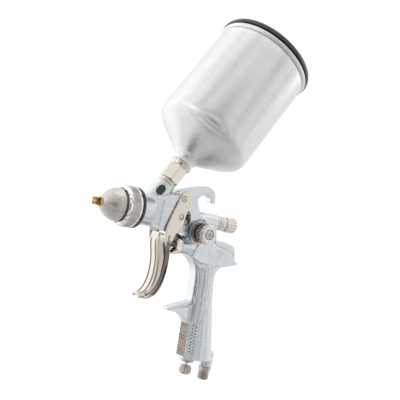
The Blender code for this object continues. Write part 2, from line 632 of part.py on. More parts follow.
def make_needle_line(look):
    tip = CAP_FACE_X + 0.2
    collar = CROSSBAR_X + CROSSBAR_R + GAP
    seat = WINDOW_X1 + 3.0
    packing_end = WINDOW_X0 - 6.0
    turned("fluid_needle", [
        (0, seat + 24), (1.4, seat + 24), (1.4, seat + 2), (4.2, seat + 2), (4.2, seat), (1.9, seat),
        (1.9, collar + 3.4), (3.3, collar + 3.4), (3.3, collar), (NEEDLE_R, collar), (NEEDLE_R, tip + 4.5),
        (0.35, tip), (0, tip)], along=X_AXIS, finish=look["steel"], steps=14)
    turned("needle_packing", [
        (PACKING_BORE_R - GAP, packing_end), (PACKING_BORE_R - GAP, packing_end - PACKING_LENGTH),
        (NEEDLE_R + GAP, packing_end - PACKING_LENGTH), (NEEDLE_R + GAP, packing_end)],
        along=X_AXIS, finish=look["ptfe"], steps=14)
    nut = turned("packing_nut", [
        (PACKING_BORE_R - GAP, WINDOW_X0 + 0.8), (PACKING_BORE_R - GAP, packing_end + GAP),
        (NEEDLE_R + GAP, packing_end + GAP),
        (NEEDLE_R + GAP, WINDOW_X0 + 0.8)], along=X_AXIS, finish=look["brass"], steps=14)
    head = prism("packing_nut_head", 6, 5.0, WINDOW_X0 + 0.4, WINDOW_X0 + 3.0, (0, 0, 0), X_AXIS, 0.3)
    bore = cylinder("packing_nut_bore", NEEDLE_R + GAP, WINDOW_X0 - 8, WINDOW_X0 + 5, (0, 0, 0), X_AXIS,
                    steps=14)
    join(nut, head)
    cut(nut, bore)
    stop_x = seat + 29.5
    coil("needle_spring", 3.6, 0.45, 6, seat + 2 + 0.9, stop_x - 0.9, (0, 0, 0), X_AXIS, look["spring"])
    turned("needle_stop", [
        (0, stop_x + 12.6), (4.2, stop_x + 12.6), (4.4, stop_x + 12.2), (4.4, stop_x), (0, stop_x)],
        along=X_AXIS, finish=look["steel"], steps=16)
    inner = 4.4 + GAP
    flange = REAR_END_X + GAP
    turned("rear_bushing", [
        (inner, REAR_END_X - BUSHING_DEPTH + GAP), (BUSHING_BORE_R - GAP, REAR_END_X - BUSHING_DEPTH + GAP),
        (BUSHING_BORE_R - GAP, flange), (REAR_BARREL_R - 0.7, flange), (REAR_BARREL_R - 0.7, flange + 2),
        (inner, flange + 2)], along=X_AXIS, finish=look["steel"], steps=18)
    x0 = FLUID_KNOB_X0
    neck = turned("fluid_knob", [
        (inner, x0), (FLUID_KNOB_NECK_R - 0.5, x0), (FLUID_KNOB_NECK_R, x0 + 0.6),
        (FLUID_KNOB_NECK_R, x0 + FLUID_KNOB_NECK), (FLUID_KNOB_R - 1.2, x0 + FLUID_KNOB_NECK),
        (FLUID_KNOB_R - 1.2, x0 + FLUID_KNOB_LENGTH - 1.0), (FLUID_KNOB_R - 2.6, x0 + FLUID_KNOB_LENGTH),
        (0.8, x0 + FLUID_KNOB_LENGTH), (0.8, x0 + FLUID_KNOB_LENGTH - 1.0), (0.4, stop_x + 13.5),
        (inner, stop_x + 13.2)], along=X_AXIS, finish=look["nickel"], steps=20)
    rim = outline_mesh("fluid_knob_rim", fluted_outline(FLUID_KNOB_R, 0.6, 16),
                       (FLUID_KNOB_LENGTH - FLUID_KNOB_NECK - 2.4) / 2, (0, 0, 0), normal_is_y=False)
    rim.location = Vector((x0 + (FLUID_KNOB_LENGTH + FLUID_KNOB_NECK) / 2 - 0.4, 0, 0)) * MM
    rim.rotation_euler = (0, math.pi / 2, 0)
    clear = cylinder("fluid_knob_core", FLUID_KNOB_R - 2.2, x0 - 5, stop_x + 13.4, (0, 0, 0), X_AXIS)
    cut(rim, clear)
    join(neck, rim)


# ---------------------------------------------------------------- air valve

def make_air_valve(look):
    at = (0, 0, VALVE_Z)
    inner = VALVE_STEM_R + GAP
    shank_end = VALVE_FRONT_X + 13
    nut_x1 = VALVE_FRONT_X - GAP
    nut = turned("air_valve_nut", [
        (VALVE_BORE_R - GAP, shank_end), (VALVE_BORE_R - GAP, nut_x1), (VALVE_NUT_R * 0.9, nut_x1),
        (VALVE_NUT_R * 0.9, nut_x1 - 1.2), (VALVE_STEM_R + 3, nut_x1 - VALVE_NUT_LENGTH + 0.6),
        (inner, nut_x1 - VALVE_NUT_LENGTH + 0.6), (inner, shank_end)],
        at=at, along=X_AXIS, finish=look["nickel"], steps=18)
    hexagon = prism("air_valve_hexagon", 6, VALVE_NUT_R, nut_x1 - VALVE_NUT_LENGTH, nut_x1 - 0.9, at, X_AXIS,
                    0.8, math.radians(30))
    clear = cylinder("air_valve_nut_bore", inner, nut_x1 - 20, nut_x1 + 20, at, X_AXIS, steps=18)
    join(nut, hexagon)
    cut(nut, clear)
    tip = 20.0
    rod_end = shank_end + 1
    poppet_x = shank_end + 4.6
    turned("air_valve_stem", [
        (0, poppet_x + 3.4), (1.4, poppet_x + 3.4), (1.4, rod_end), (VALVE_STEM_R, rod_end),
        (VALVE_STEM_R, tip + 2.4), (VALVE_STEM_R - 0.5, tip + 1), (VALVE_STEM_R - 1.5, tip + 0.2), (0, tip)],
        at=at, along=X_AXIS, finish=look["steel"], steps=14)
    turned("air_valve_seat", [
        (VALVE_BORE_R - GAP, poppet_x - GAP), (VALVE_BORE_R - GAP, shank_end + GAP), (inner, shank_end + GAP),
        (inner, poppet_x - 1.2), (3.9, poppet_x - GAP)], at=at, along=X_AXIS, finish=look["brass"], steps=16)
    turned("air_valve_poppet", [
        (1.7, poppet_x + 3.2), (4.4, poppet_x + 3.2), (4.9, poppet_x + 2.6), (4.9, poppet_x + 0.6),
        (4.4, poppet_x), (1.7, poppet_x)], at=at, along=X_AXIS, finish=look["brass"], steps=14)
    coil("air_valve_spring", 3.9, 0.5, 8, poppet_x + 4.4, VALVE_BORE_END_X - 1, at, X_AXIS, look["spring"])


# ---------------------------------------------------------------- knobs on stems

def make_fan_valve(look):
    at = (FAN_X, 0, FAN_Z)
    out = -Y_AXIS
    face = -FAN_FACE_Y + GAP
    nut = turned("fan_valve_nut", [
        (STEM_SLEEVE_R, face + 3.9), (6.6, face + 3.9), (7.2, face + 3.4), (FAN_NUT_R * 0.93, face + 1.6),
        (FAN_NUT_R * 0.93, face), (FAN_BORE_R - GAP, face), (FAN_BORE_R - GAP, -2), (STEM_SLEEVE_R, -2)],
        at=at, along=out, finish=look["nickel"], steps=18)
    hexagon = prism("fan_valve_hexagon", 6, FAN_NUT_R, face + 0.5, face + 2.9, at, out, 0.5,
                    math.radians(12))
    clear = cylinder("fan_valve_nut_bore", STEM_SLEEVE_R, -5, face + 8, at, out, steps=18)
    join(nut, hexagon)
    cut(nut, clear)
    knob0 = face + 4.4
    knob1 = knob0 + FAN_KNOB_LENGTH
    turned("fan_stem", [
        (0, knob1 - 6), (1.0, knob1 - 6), (1.0, knob1 - 2.0), (STEM_R, knob1 - 2.0), (STEM_R, 0.5),
        (0.7, -1.4), (0, -1.4)], at=at, along=out, finish=look["steel"], steps=14)
    knob = fluted_knob("fan_knob", FAN_KNOB_R, 0.9, 15, knob0, knob1, at, out, look["nickel"])
    recess = turned("fan_knob_recess", [
        (0, knob1 + 1), (4.6, knob1 + 1), (4.6, knob1 - 1.5), (STEM_SLEEVE_R, knob1 - 1.5),
        (STEM_SLEEVE_R, knob0 - 1), (0, knob0 - 1)], at=at, along=out, cutter=True, steps=16)
    cut(knob, recess)
    screw = turned("fan_knob_screw", [
        (0, knob1 + 0.1), (3.2, knob1 + 0.1), (4.1, knob1 - 0.4), (4.1, knob1 - 1.2), (0.7, knob1 - 1.2),
        (0.7, knob1 - 5.5), (0, knob1 - 5.5)], at=at, along=out, finish=look["steel"], steps=16)
    for name, wide, tall in (("screw_slot_a", 4.4, 0.9), ("screw_slot_b", 0.9, 4.4)):
        slot = box(name, (FAN_X - wide / 2, -knob1 - 1, FAN_Z - tall / 2),
                   (FAN_X + wide / 2, -knob1 + 0.7, FAN_Z + tall / 2))
        cut(screw, slot)


def fluted_knob(name, radius, depth, count, start, end, at, along, finish):
    """A knob with a scalloped rim and turned, rounded ends."""
    knob = turned(name, [
        (0, end), (radius - 1.4, end), (radius - 0.7, end - 0.6), (radius - 0.7, end - 1.3),
        (radius - 1.0, end - 1.6), (radius - 1.0, start + 0.8), (radius - 1.8, start), (0, start)],
        at=at, along=along, finish=finish, steps=16)
    rim = outline_mesh(name + "_rim", fluted_outline(radius, depth, count), (end - start - 2.8) / 2,
                       (0, 0, 0), normal_is_y=False)
    direction = Vector(along).normalized()
    rim.location = (Vector(at) + direction * ((start + end) / 2 - 0.5)) * MM
    rim.rotation_euler = aim(direction)
    join(knob, rim)
    return knob


def make_micrometer(look):
    at = (MICRO_X, 0, 0)
    out = -Z_AXIS
    face = -GRIP_BOTTOM_Z + GAP
    turned("micrometer_body", [
        (STEM_SLEEVE_R, face + 3.3), (5.0, face + 3.3), (MICRO_COLLAR_R, face + 2.6), (MICRO_COLLAR_R, face),
        (MICRO_BORE_R - GAP, face), (MICRO_BORE_R - GAP, face - 11), (STEM_SLEEVE_R, face - 11)],
        at=at, along=out, finish=look["nickel"], steps=18)
    knob0 = face + 6.3
    knob1 = knob0 + MICRO_KNOB_LENGTH
    turned("micrometer_stem", [
        (0, knob1 - 2), (STEM_R, knob1 - 2), (STEM_R, face - 9), (0.7, face - 12.5), (0, face - 12.5)],
        at=at, along=out, finish=look["steel"], steps=14)
    knob = fluted_knob("micrometer_knob", MICRO_KNOB_R, 0.5, 13, knob0, knob1, at, out, look["dark_nickel"])
    cut(knob, cylinder("micrometer_knob_bore", STEM_SLEEVE_R, knob0 - 2, knob1 - 1.6, at, out, steps=14))


def make_air_inlet(look):
    at = (INLET_X, 0, 0)
    out = -Z_AXIS
    face = -INLET_BOSS_Z + GAP
    end = face + INLET_LENGTH
    shank = INLET_R - 0.2
    inlet = turned("air_inlet", [
        (INLET_BORE_R, end), (INLET_R - 0.9, end), (INLET_R, end - 0.9), (INLET_R, face + 4.2),
        (shank, face + 3.8), (shank, face - 8.5), (INLET_BORE_R, face - 8.5)],
        at=at, along=out, finish=look["dark_nickel"], steps=18)
    hexagon = prism("air_inlet_hexagon", 6, INLET_BOSS_R - 0.3, face, face + 3.6, at, out, 0.4)
    clear = cylinder("air_inlet_bore", INLET_BORE_R, face - 20, end + 5, at, out, steps=18)
    join(inlet, hexagon)
    cut(inlet, clear)


# ---------------------------------------------------------------- trigger

def plate_points():
    """One side plate of the trigger, seen from the left."""
    return [
        (27.8, 20.2), (29.6, 22.6), (33.5, 23.4), (37.2, 22.6), (38.2, 18), (38.6, 10), (37.8, 6),
        (36.4, 2.0), (35.7, -3.4), (35.9, -7), (33.4, -10.6), (29.8, -15.2), (27.6, -20), (26.4, -26),
        (26.2, -31.5), (22.6, -30.4), (20.4, -26), (18.6, -21), (17.5, -13.7), (18.2, -9), (22.7, 5),
    ]


def blade_row(index):
    """Points across the blade at one station, from the left flange's edge to the right one's."""
    x, z, half, reach, flare = BLADE[index]
    before = Vector(BLADE[max(index - 1, 0)][:2])
    after = Vector(BLADE[min(index + 1, len(BLADE) - 1)][:2])
    run = (after - before).normalized()
    back = Vector((-run.y, run.x))
    if back.x < 0 and abs(back.x) > abs(back.y):
        back = -back
    row = [(-flare, 1.0), (-(half + flare) / 2 - 0.4, 0.55), (-half, 0.12), (-half * 0.82, 0.0)]
    row += [(-y, depth) for y, depth in reversed(row)]
    return [(x + back.x * reach * d, y, z + back.y * reach * d) for y, d in row]


def make_trigger(look):
    pivot = Vector((PIVOT_X, 0, PIVOT_Z))
    shape = bmesh.new()
    rows = [[shape.verts.new((Vector(p) - pivot) * MM) for p in blade_row(i)] for i in range(len(BLADE))]
    for upper, lower in zip(rows, rows[1:]):
        for i in range(len(upper) - 1):
            shape.faces.new((upper[i], lower[i], lower[i + 1], upper[i + 1]))
    mesh = bpy.data.meshes.new("trigger")
    shape.to_mesh(mesh)
    shape.free()
    trigger = add_object("trigger", mesh, pivot, Z_AXIS, look["nickel"])
    shell = trigger.modifiers.new("thickness", "SOLIDIFY")
    shell.thickness = BLADE_THICKNESS * MM
    shell.offset = -1.0
    shell.use_even_offset = True
    for side in (-1, 1):
        plate = outline_mesh("plate_shape", plate_points(), PLATE_THICKNESS / 2,
                             (0, side * (PLATE_Y + PLATE_THICKNESS / 2), 0), bevel=0.3)
        join(trigger, plate)
    hole = cylinder("trigger_pivot_hole", PIVOT_R + GAP, -20, 20, (PIVOT_X, 0, PIVOT_Z), Y_AXIS, steps=16)
    bar_hole = cylinder("trigger_bar_hole", CROSSBAR_END_R + GAP, -20, 20, (CROSSBAR_X, 0, 0), Y_AXIS,
                        steps=16)
    cut(trigger, hole, bar_hole)
    make_crossbar(look)
    make_pivot(look)


def make_crossbar(look):
    """The bar across the trigger, with a slot that the needle passes through."""
    inside = PLATE_Y - GAP
    end = PLATE_Y + PLATE_THICKNESS
    bar = turned("trigger_crossbar", [
        (0, end), (CROSSBAR_END_R, end), (CROSSBAR_END_R, inside), (CROSSBAR_R, inside),
        (CROSSBAR_R, -inside), (CROSSBAR_END_R, -inside), (CROSSBAR_END_R, -end), (0, -end)],
        at=(CROSSBAR_X, 0, 0), along=Y_AXIS, finish=look["steel"], steps=18)
    slot = box("crossbar_slot", (CROSSBAR_X - 8, -1.8, -3.4), (CROSSBAR_X + 8, 1.8, 3.0))
    cut(bar, slot)


def make_pivot(look):
    end = PLATE_Y + PLATE_THICKNESS
    at = (PIVOT_X, 0, PIVOT_Z)
    turned("trigger_pivot", [
        (0, end + 0.2 - 6), (1.3, end + 0.2 - 6), (1.3, end + 0.2), (PIVOT_R, end + 0.2),
        (PIVOT_R, -end + 0.1), (PIVOT_R - 0.5, -end - 0.4), (0, -end - 0.4)],
        at=at, along=Y_AXIS, finish=look["steel"], steps=16)
    screw = turned("trigger_screw", [
        (0, end + 2.2), (2.6, end + 2.2), (4.3, end + 1.4), (4.3, end + 0.5), (1.0, end + 0.5),
        (1.0, end - 4.6), (0, end - 4.6)], at=at, along=Y_AXIS, finish=look["steel"], steps=16)
    slot = box("trigger_screw_slot", (PIVOT_X - 6, end + 1.5, PIVOT_Z - 0.5),
               (PIVOT_X + 6, end + 4, PIVOT_Z + 0.5))
    cut(screw, slot)


# ---------------------------------------------------------------- cup

def make_cup_fittings(look):
    collar0 = BOSS_TOP_S + GAP
    collar1 = collar0 + NIPPLE_COLLAR_HEIGHT
    turned("cup_nipple", [
        (3.0, collar1 + 11.5), (4.6, collar1 + 11.5), (4.6, collar1), (NIPPLE_COLLAR_R - 0.6, collar1),
        (NIPPLE_COLLAR_R, collar1 - 0.6), (NIPPLE_COLLAR_R, collar0), (5.6, collar0), (5.6, 14),
        (3.0, 14)], along=CUP_AXIS, finish=look["nickel"], steps=18)
    low, top = NUT_BOTTOM_S, NUT_TOP_S
    nut = turned("cup_nut", [
        (8.1, top), (CUP_NUT_FLANGE_R, top), (CUP_NUT_FLANGE_R, top - 0.9), (9.6, top - 4.5), (9.0, top - 5.4),
        (8.4, top - 6), (8.4, low + 1), (7.8, low), (4.9, low), (4.9, low + 11.2), (8.1, low + 11.2)],
        along=CUP_AXIS, finish=look["nickel"], steps=20)
    hexagon = prism("cup_nut_hexagon", 6, CUP_NUT_R, low + 0.4, top - 4.6, (0, 0, 0), CUP_AXIS, 0.5,
                    math.radians(CUP_NUT_TURN_DEG))
    clear = turned("cup_nut_bore", [
        (0, top + 3), (8.1, top + 3), (8.1, low + 11.2), (4.9, low + 11.2), (4.9, low - 3), (0, low - 3)],
        along=CUP_AXIS, cutter=True, steps=20)
    join(nut, hexagon)
    cut(nut, clear)


def cup_outside():
    """Outer profile of the cup from its stub up to the groove under the rim."""
    stub = NUT_TOP_S - CUP_NUT_LENGTH + 11.6
    cone0, cone1 = CUP_BOTTOM_S, CUP_BOTTOM_S + CUP_CONE_HEIGHT
    rise = cone1 - cone0
    return [
        (7.8, stub), (7.8, NUT_TOP_S + GAP), (CUP_NECK_R, NUT_TOP_S + GAP), (CUP_NECK_R + 0.2, cone0 - 2.4),
        (CUP_NECK_R + 1.4, cone0), (CUP_NECK_R + 4.4, cone0 + rise * 0.11), (CUP_R * 0.60, cone0 + rise * 0.43),
        (CUP_R * 0.835, cone0 + rise * 0.70), (CUP_R * 0.92, cone0 + rise * 0.82),
        (CUP_R * 0.972, cone0 + rise * 0.93), (CUP_R * 0.993, cone1 + 1), (CUP_R, cone1 + 4),
        (CUP_R, CUP_RIM_S),
    ]


def cup_inside():
    """Inner profile of the cup, from its mouth down to its outlet."""
    cone0, cone1 = CUP_BOTTOM_S, CUP_BOTTOM_S + CUP_CONE_HEIGHT
    rise = cone1 - cone0
    inner = CUP_R - CUP_WALL
    return [
        (inner, cone1 + 4.3), (inner * 0.985, cone1 + 1), (inner * 0.955, cone1 - 0.6),
        (inner * 0.90, cone0 + rise * 0.90), (inner * 0.80, cone0 + rise * 0.74),
        (inner * 0.59, cone0 + rise * 0.50), (CUP_NECK_R + 1.4, cone0 + 2.4), (CUP_OUTLET_R + 1.0, cone0 - 1.5),
        (CUP_OUTLET_R, cone0 - 4), (CUP_OUTLET_R, NUT_TOP_S - CUP_NUT_LENGTH + 11.6),
    ]


def make_cup(look):
    rim = CUP_RIM_S
    bead = [
        (CUP_R - 0.7, rim + 0.2), (CUP_R - 0.7, rim + 1.2), (CUP_R + 0.7, rim + 1.4), (CUP_R + 1.6, rim + 2.6),
        (CUP_R + 1.7, rim + 4.0), (CUP_R + 1.2, rim + 5.4), (CUP_R + 0.4, rim + 5.9),
        (CUP_R - CUP_WALL, rim + 5.9),
    ]
    turned("cup", cup_outside() + bead + cup_inside(), along=CUP_AXIS, finish=look["aluminium"], steps=32)
    turned("cup_filter", [
        (3.7, CUP_BOTTOM_S + 20), (4.2, CUP_BOTTOM_S + 20), (4.6, CUP_BOTTOM_S - 3),
        (4.6, CUP_BOTTOM_S - 12), (3.7, CUP_BOTTOM_S - 12)], along=CUP_AXIS, finish=look["ptfe"], steps=14)
    make_lid(look, rim + 5.9 + GAP)


def make_lid(look, seat):
    skirt_r = CUP_R - CUP_WALL - 1.3
    top = seat + LID_HEIGHT
    lid = turned("lid", [
        (0, top - 1.6), (LID_R - 10, top - 1.6), (LID_R - 8, top - 0.2), (LID_R - 3, top),
        (LID_R - 1.4, top - 0.6),
        (LID_R - 0.5, top - 2.4), (LID_R, top - 4.2), (LID_R - 0.2, seat), (skirt_r, seat),
        (skirt_r, seat - LID_SKIRT), (skirt_r - 1.8, seat - LID_SKIRT), (skirt_r - 2.2, top - 3.6),
        (0, top - 3.6)], along=CUP_AXIS, finish=look["black"], steps=32)
    turned("lid_gasket", [
        (skirt_r + 1.0, seat - 3.2), (skirt_r + 1.0, seat - 6.0), (skirt_r + GAP, seat - 6.0),
        (skirt_r + GAP, seat - 3.2)], along=CUP_AXIS, finish=look["rubber"], steps=32)
    side = Y_AXIS.cross(CUP_AXIS).normalized()
    vent_at = side * 20
    vent_hole = cylinder("vent_hole", 1.5, top - 6, top + 2, vent_at, CUP_AXIS, steps=12)
    cut(lid, vent_hole)
    low = top - 1.6 + GAP
    turned("vent_cap", [
        (0, low + 3.4), (4.0, low + 3.4), (5.6, low + 2.6), (6.0, low + 1.6), (6.0, low), (1.2, low),
        (1.2, low - 2.2), (0, low - 2.2)], at=vent_at, along=CUP_AXIS, finish=look["rubber"], steps=16)


# ---------------------------------------------------------------- assembly

def main():
    global parts, cutters, frame
    clear_scene()
    parts = new_collection("hvlp_spray_gun")
    cutters = new_collection("cutters")
    frame = bpy.data.objects.new("gun_frame", None)
    parts.objects.link(frame)
    frame.location = Vector((-HOOK_CROWN_X, 0, -HOOK_CROWN_Z)) * MM
    look = make_finishes()
    make_body(look["satin"])
    make_inlay(look["black"])
    make_nozzle_group(look)
    make_needle_line(look)
    make_air_valve(look)
    make_fan_valve(look)
    make_micrometer(look)
    make_air_inlet(look)
    make_trigger(look)
    make_cup_fittings(look)
    make_cup(look)


main()
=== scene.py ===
"""Looks of the gravity-feed spray gun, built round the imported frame.

Shapes are drawn in millimetres in the barrel's frame, whose origin is where the cup's axis meets the
barrel's axis, and placed in the row frame, whose origin is the crown of the hanging hook.
"""
import math

import bmesh
import bpy
import numpy as np
from mathutils import Matrix, Vector


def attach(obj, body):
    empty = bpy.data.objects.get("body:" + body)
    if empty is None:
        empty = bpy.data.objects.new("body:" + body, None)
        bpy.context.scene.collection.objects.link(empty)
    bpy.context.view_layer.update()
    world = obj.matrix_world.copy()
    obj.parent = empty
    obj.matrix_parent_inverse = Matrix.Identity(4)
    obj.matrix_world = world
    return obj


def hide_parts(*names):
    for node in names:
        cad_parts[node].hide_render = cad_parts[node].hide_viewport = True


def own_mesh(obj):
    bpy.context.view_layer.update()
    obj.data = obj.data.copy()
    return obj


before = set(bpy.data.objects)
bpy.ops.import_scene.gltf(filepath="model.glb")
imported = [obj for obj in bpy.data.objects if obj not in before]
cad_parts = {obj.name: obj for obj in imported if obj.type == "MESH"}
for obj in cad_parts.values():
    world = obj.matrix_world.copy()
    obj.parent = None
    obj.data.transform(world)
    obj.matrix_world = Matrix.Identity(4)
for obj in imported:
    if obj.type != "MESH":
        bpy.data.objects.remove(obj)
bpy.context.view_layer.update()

MM = 0.001
CROWN = Vector((60.0, 0.0, 23.2))
LEAN = math.radians(58.3)
CUP_AXIS = Vector((math.cos(LEAN), 0.0, math.sin(LEAN)))
X_AXIS = Vector((1, 0, 0))
Y_AXIS = Vector((0, 1, 0))
Z_AXIS = Vector((0, 0, 1))

HEAD_FRONT_X = -10.5
RING_X0 = -27.2
RING_X1 = -14.0
CAP_X = -45.8
WINDOW_X0 = 23.0
VALVE_Z = -25.4
FAN = (56.8, 0, -11.1)
MICRO_X = 82.0
INLET_X = 105.5
PIVOT = (30.5, 0, 16.0)
BAR_X = 31.0
PLATE_Y = 11.6
PLATE_T = 1.5
GAP = 0.3


# ---------------------------------------------------------------- materials

class Nodes:
    """A short way to wire one material's nodes."""

    def __init__(self, name):
        self.material = bpy.data.materials.new(name)
        self.material.use_nodes = True
        self.tree = self.material.node_tree
        self.shader = self.tree.nodes["Principled BSDF"]

    def add(self, kind, **settings):
        node = self.tree.nodes.new(kind)
        for key, value in settings.items():
            setattr(node, key, value)
        return node

    def link(self, a, b):
        self.tree.links.new(a, b)

    def math(self, operation, a, b=None, clamp=False):
        node = self.add("ShaderNodeMath", operation=operation, use_clamp=clamp)
        for socket, value in zip(node.inputs, (a, b)):
            if value is None:
                continue
            if isinstance(value, (int, float)):
                socket.default_value = value
            else:
                self.link(value, socket)
        return node.outputs[0]

    def vector(self, x, y, z):
        node = self.add("ShaderNodeCombineXYZ")
        for socket, value in zip(node.inputs, (x, y, z)):
            if isinstance(value, (int, float)):
                socket.default_value = value
            else:
                self.link(value, socket)
        return node.outputs[0]

    def noise(self, vector, scale, detail=3.0, rough=0.6):
        node = self.add("ShaderNodeTexNoise")
        node.inputs["Scale"].default_value = scale
        node.inputs["Detail"].default_value = detail
        node.inputs["Roughness"].default_value = rough
        self.link(vector, node.inputs["Vector"])
        return node.outputs["Fac"]

    def ramp(self, value, low, high, out_low, out_high):
        node = self.add("ShaderNodeMapRange")
        node.inputs["From Min"].default_value = low
        node.inputs["From Max"].default_value = high
        node.inputs["To Min"].default_value = out_low
        node.inputs["To Max"].default_value = out_high
        self.link(value, node.inputs["Value"])
        return node.outputs[0]

    def blend(self, factor, a, b, mode="MIX"):
        node = self.add("ShaderNodeMix", data_type="RGBA", blend_type=mode)
        for socket, value in ((node.inputs[0], factor), (node.inputs[6], a), (node.inputs[7], b)):
            if isinstance(value, (int, float)):
                socket.default_value = value
            elif isinstance(value, tuple):
                socket.default_value = (*value, 1.0)
            else:
                self.link(value, socket)
        return node.outputs[2]

    def bump(self, height, strength, distance):
        node = self.add("ShaderNodeBump")
        node.inputs["Strength"].default_value = strength
        node.inputs["Distance"].default_value = distance
        self.link(height, node.inputs["Height"])
        self.link(node.outputs[0], self.shader.inputs["Normal"])


def local_axes(n):
    """The object's own coordinates, and its radius and turn about its local Z."""
    place = n.add("ShaderNodeTexCoord")
    split = n.add("ShaderNodeSeparateXYZ")
    n.link(place.outputs["Object"], split.inputs[0])
    x, y, z = split.outputs
    radius = n.math("SQRT", n.math("ADD", n.math("MULTIPLY", x, x), n.math("MULTIPLY", y, y)))
    turn = n.math("ARCTAN2", y, x)
    return place.outputs["Object"], radius, turn, z


def metal(name, colour, rough, streak="none", grain=0.05, tint=None, aniso=0.0, bump=0.15, worn=0.5,
          spread=0.06, painted_dark=0.0, deep=0.42):
    """Plated, cast or turned metal: streaks along or round its axis, blotches, painted shade in creases and
    on marked places, bright edges.
    """
    n = Nodes(name)
    place, radius, turn, z = local_axes(n)
    n.shader.inputs["Metallic"].default_value = 1.0
    n.shader.inputs["Anisotropic"].default_value = aniso
    blotch = n.noise(place, 42.0, 4.0, 0.65)
    fine = n.noise(place, 900.0, 2.0, 0.5)
    if streak == "round":
        lines = n.noise(n.vector(n.math("MULTIPLY", radius, 5200.0), n.math("MULTIPLY", z, 5200.0),
                                 n.math("MULTIPLY", turn, 0.9)), 1.0, 2.0, 0.7)
    elif streak == "along":
        lines = n.noise(n.vector(n.math("MULTIPLY", turn, 60.0), n.math("MULTIPLY", radius, 900.0),
                                 n.math("MULTIPLY", z, 40.0)), 1.0, 3.0, 0.7)
    else:
        lines = fine
    curved = n.add("ShaderNodeNewGeometry").outputs["Pointiness"]
    edge = n.ramp(curved, 0.51, 0.56, 0.0, worn)
    # Painted shade: creases and hollows are darkened towards deep times the colour
    crease = n.ramp(curved, 0.49, 0.43, 0.0, 0.7)
    # Marked places are darkened the same way, as painted shade and painted dark reflection
    if painted_dark:
        mark = n.add("ShaderNodeAttribute", attribute_name="painted_dark").outputs["Fac"]
        crease = n.math("MAXIMUM", crease, n.ramp(mark, 0.25, 0.9, 0.0, painted_dark))
    painted_dark_colour = tuple(c * deep for c in colour)
    low = tuple(c * (1.0 - grain) for c in colour)
    high = tuple(min(1.0, c * (1.0 + grain)) for c in colour)
    base = n.blend(n.ramp(lines, 0.3, 0.7, 0.0, 1.0), low, high)
    if tint:
        base = n.blend(n.ramp(blotch, 0.35, 0.75, 0.0, 0.6), base, tint)
    base = n.blend(crease, base, painted_dark_colour)
    base = n.blend(edge, base, tuple(min(1.0, c * 1.18 + 0.04) for c in colour))
    n.link(base, n.shader.inputs["Base Color"])
    smear = n.math("ADD", n.ramp(blotch, 0.3, 0.7, -spread, spread), n.ramp(lines, 0.3, 0.7, -spread,
            spread))
    n.link(n.math("ADD", smear, rough, clamp=True), n.shader.inputs["Roughness"])
    n.bump(lines, bump, 0.00004)
    return n.material


def plastic(name, colour, rough, coat=0.0, grain=0.4):
    """Moulded plastic or rubber with faint mottling, dust in the creases and a fine skin."""
    n = Nodes(name)
    place = local_axes(n)[0]
    mottled = n.noise(place, 60.0, 4.0, 0.6)
    skin = n.noise(place, 1500.0, 2.0, 0.5)
    curved = n.add("ShaderNodeNewGeometry").outputs["Pointiness"]
    dust = n.ramp(curved, 0.49, 0.44, 0.0, 0.35)
    base = n.blend(n.ramp(mottled, 0.35, 0.7, 0.0, 1.0), colour, tuple(c * (1 + grain) for c in colour))
    base = n.blend(dust, base, tuple(min(1.0, c + 0.10) for c in colour))
    n.link(base, n.shader.inputs["Base Color"])
    n.link(n.ramp(mottled, 0.3, 0.7, rough * 0.8, rough * 1.25), n.shader.inputs["Roughness"])
    n.shader.inputs["Coat Weight"].default_value = coat
    n.shader.inputs["Coat Roughness"].default_value = 0.06
    n.bump(skin, 0.12, 0.00003)
    return n.material


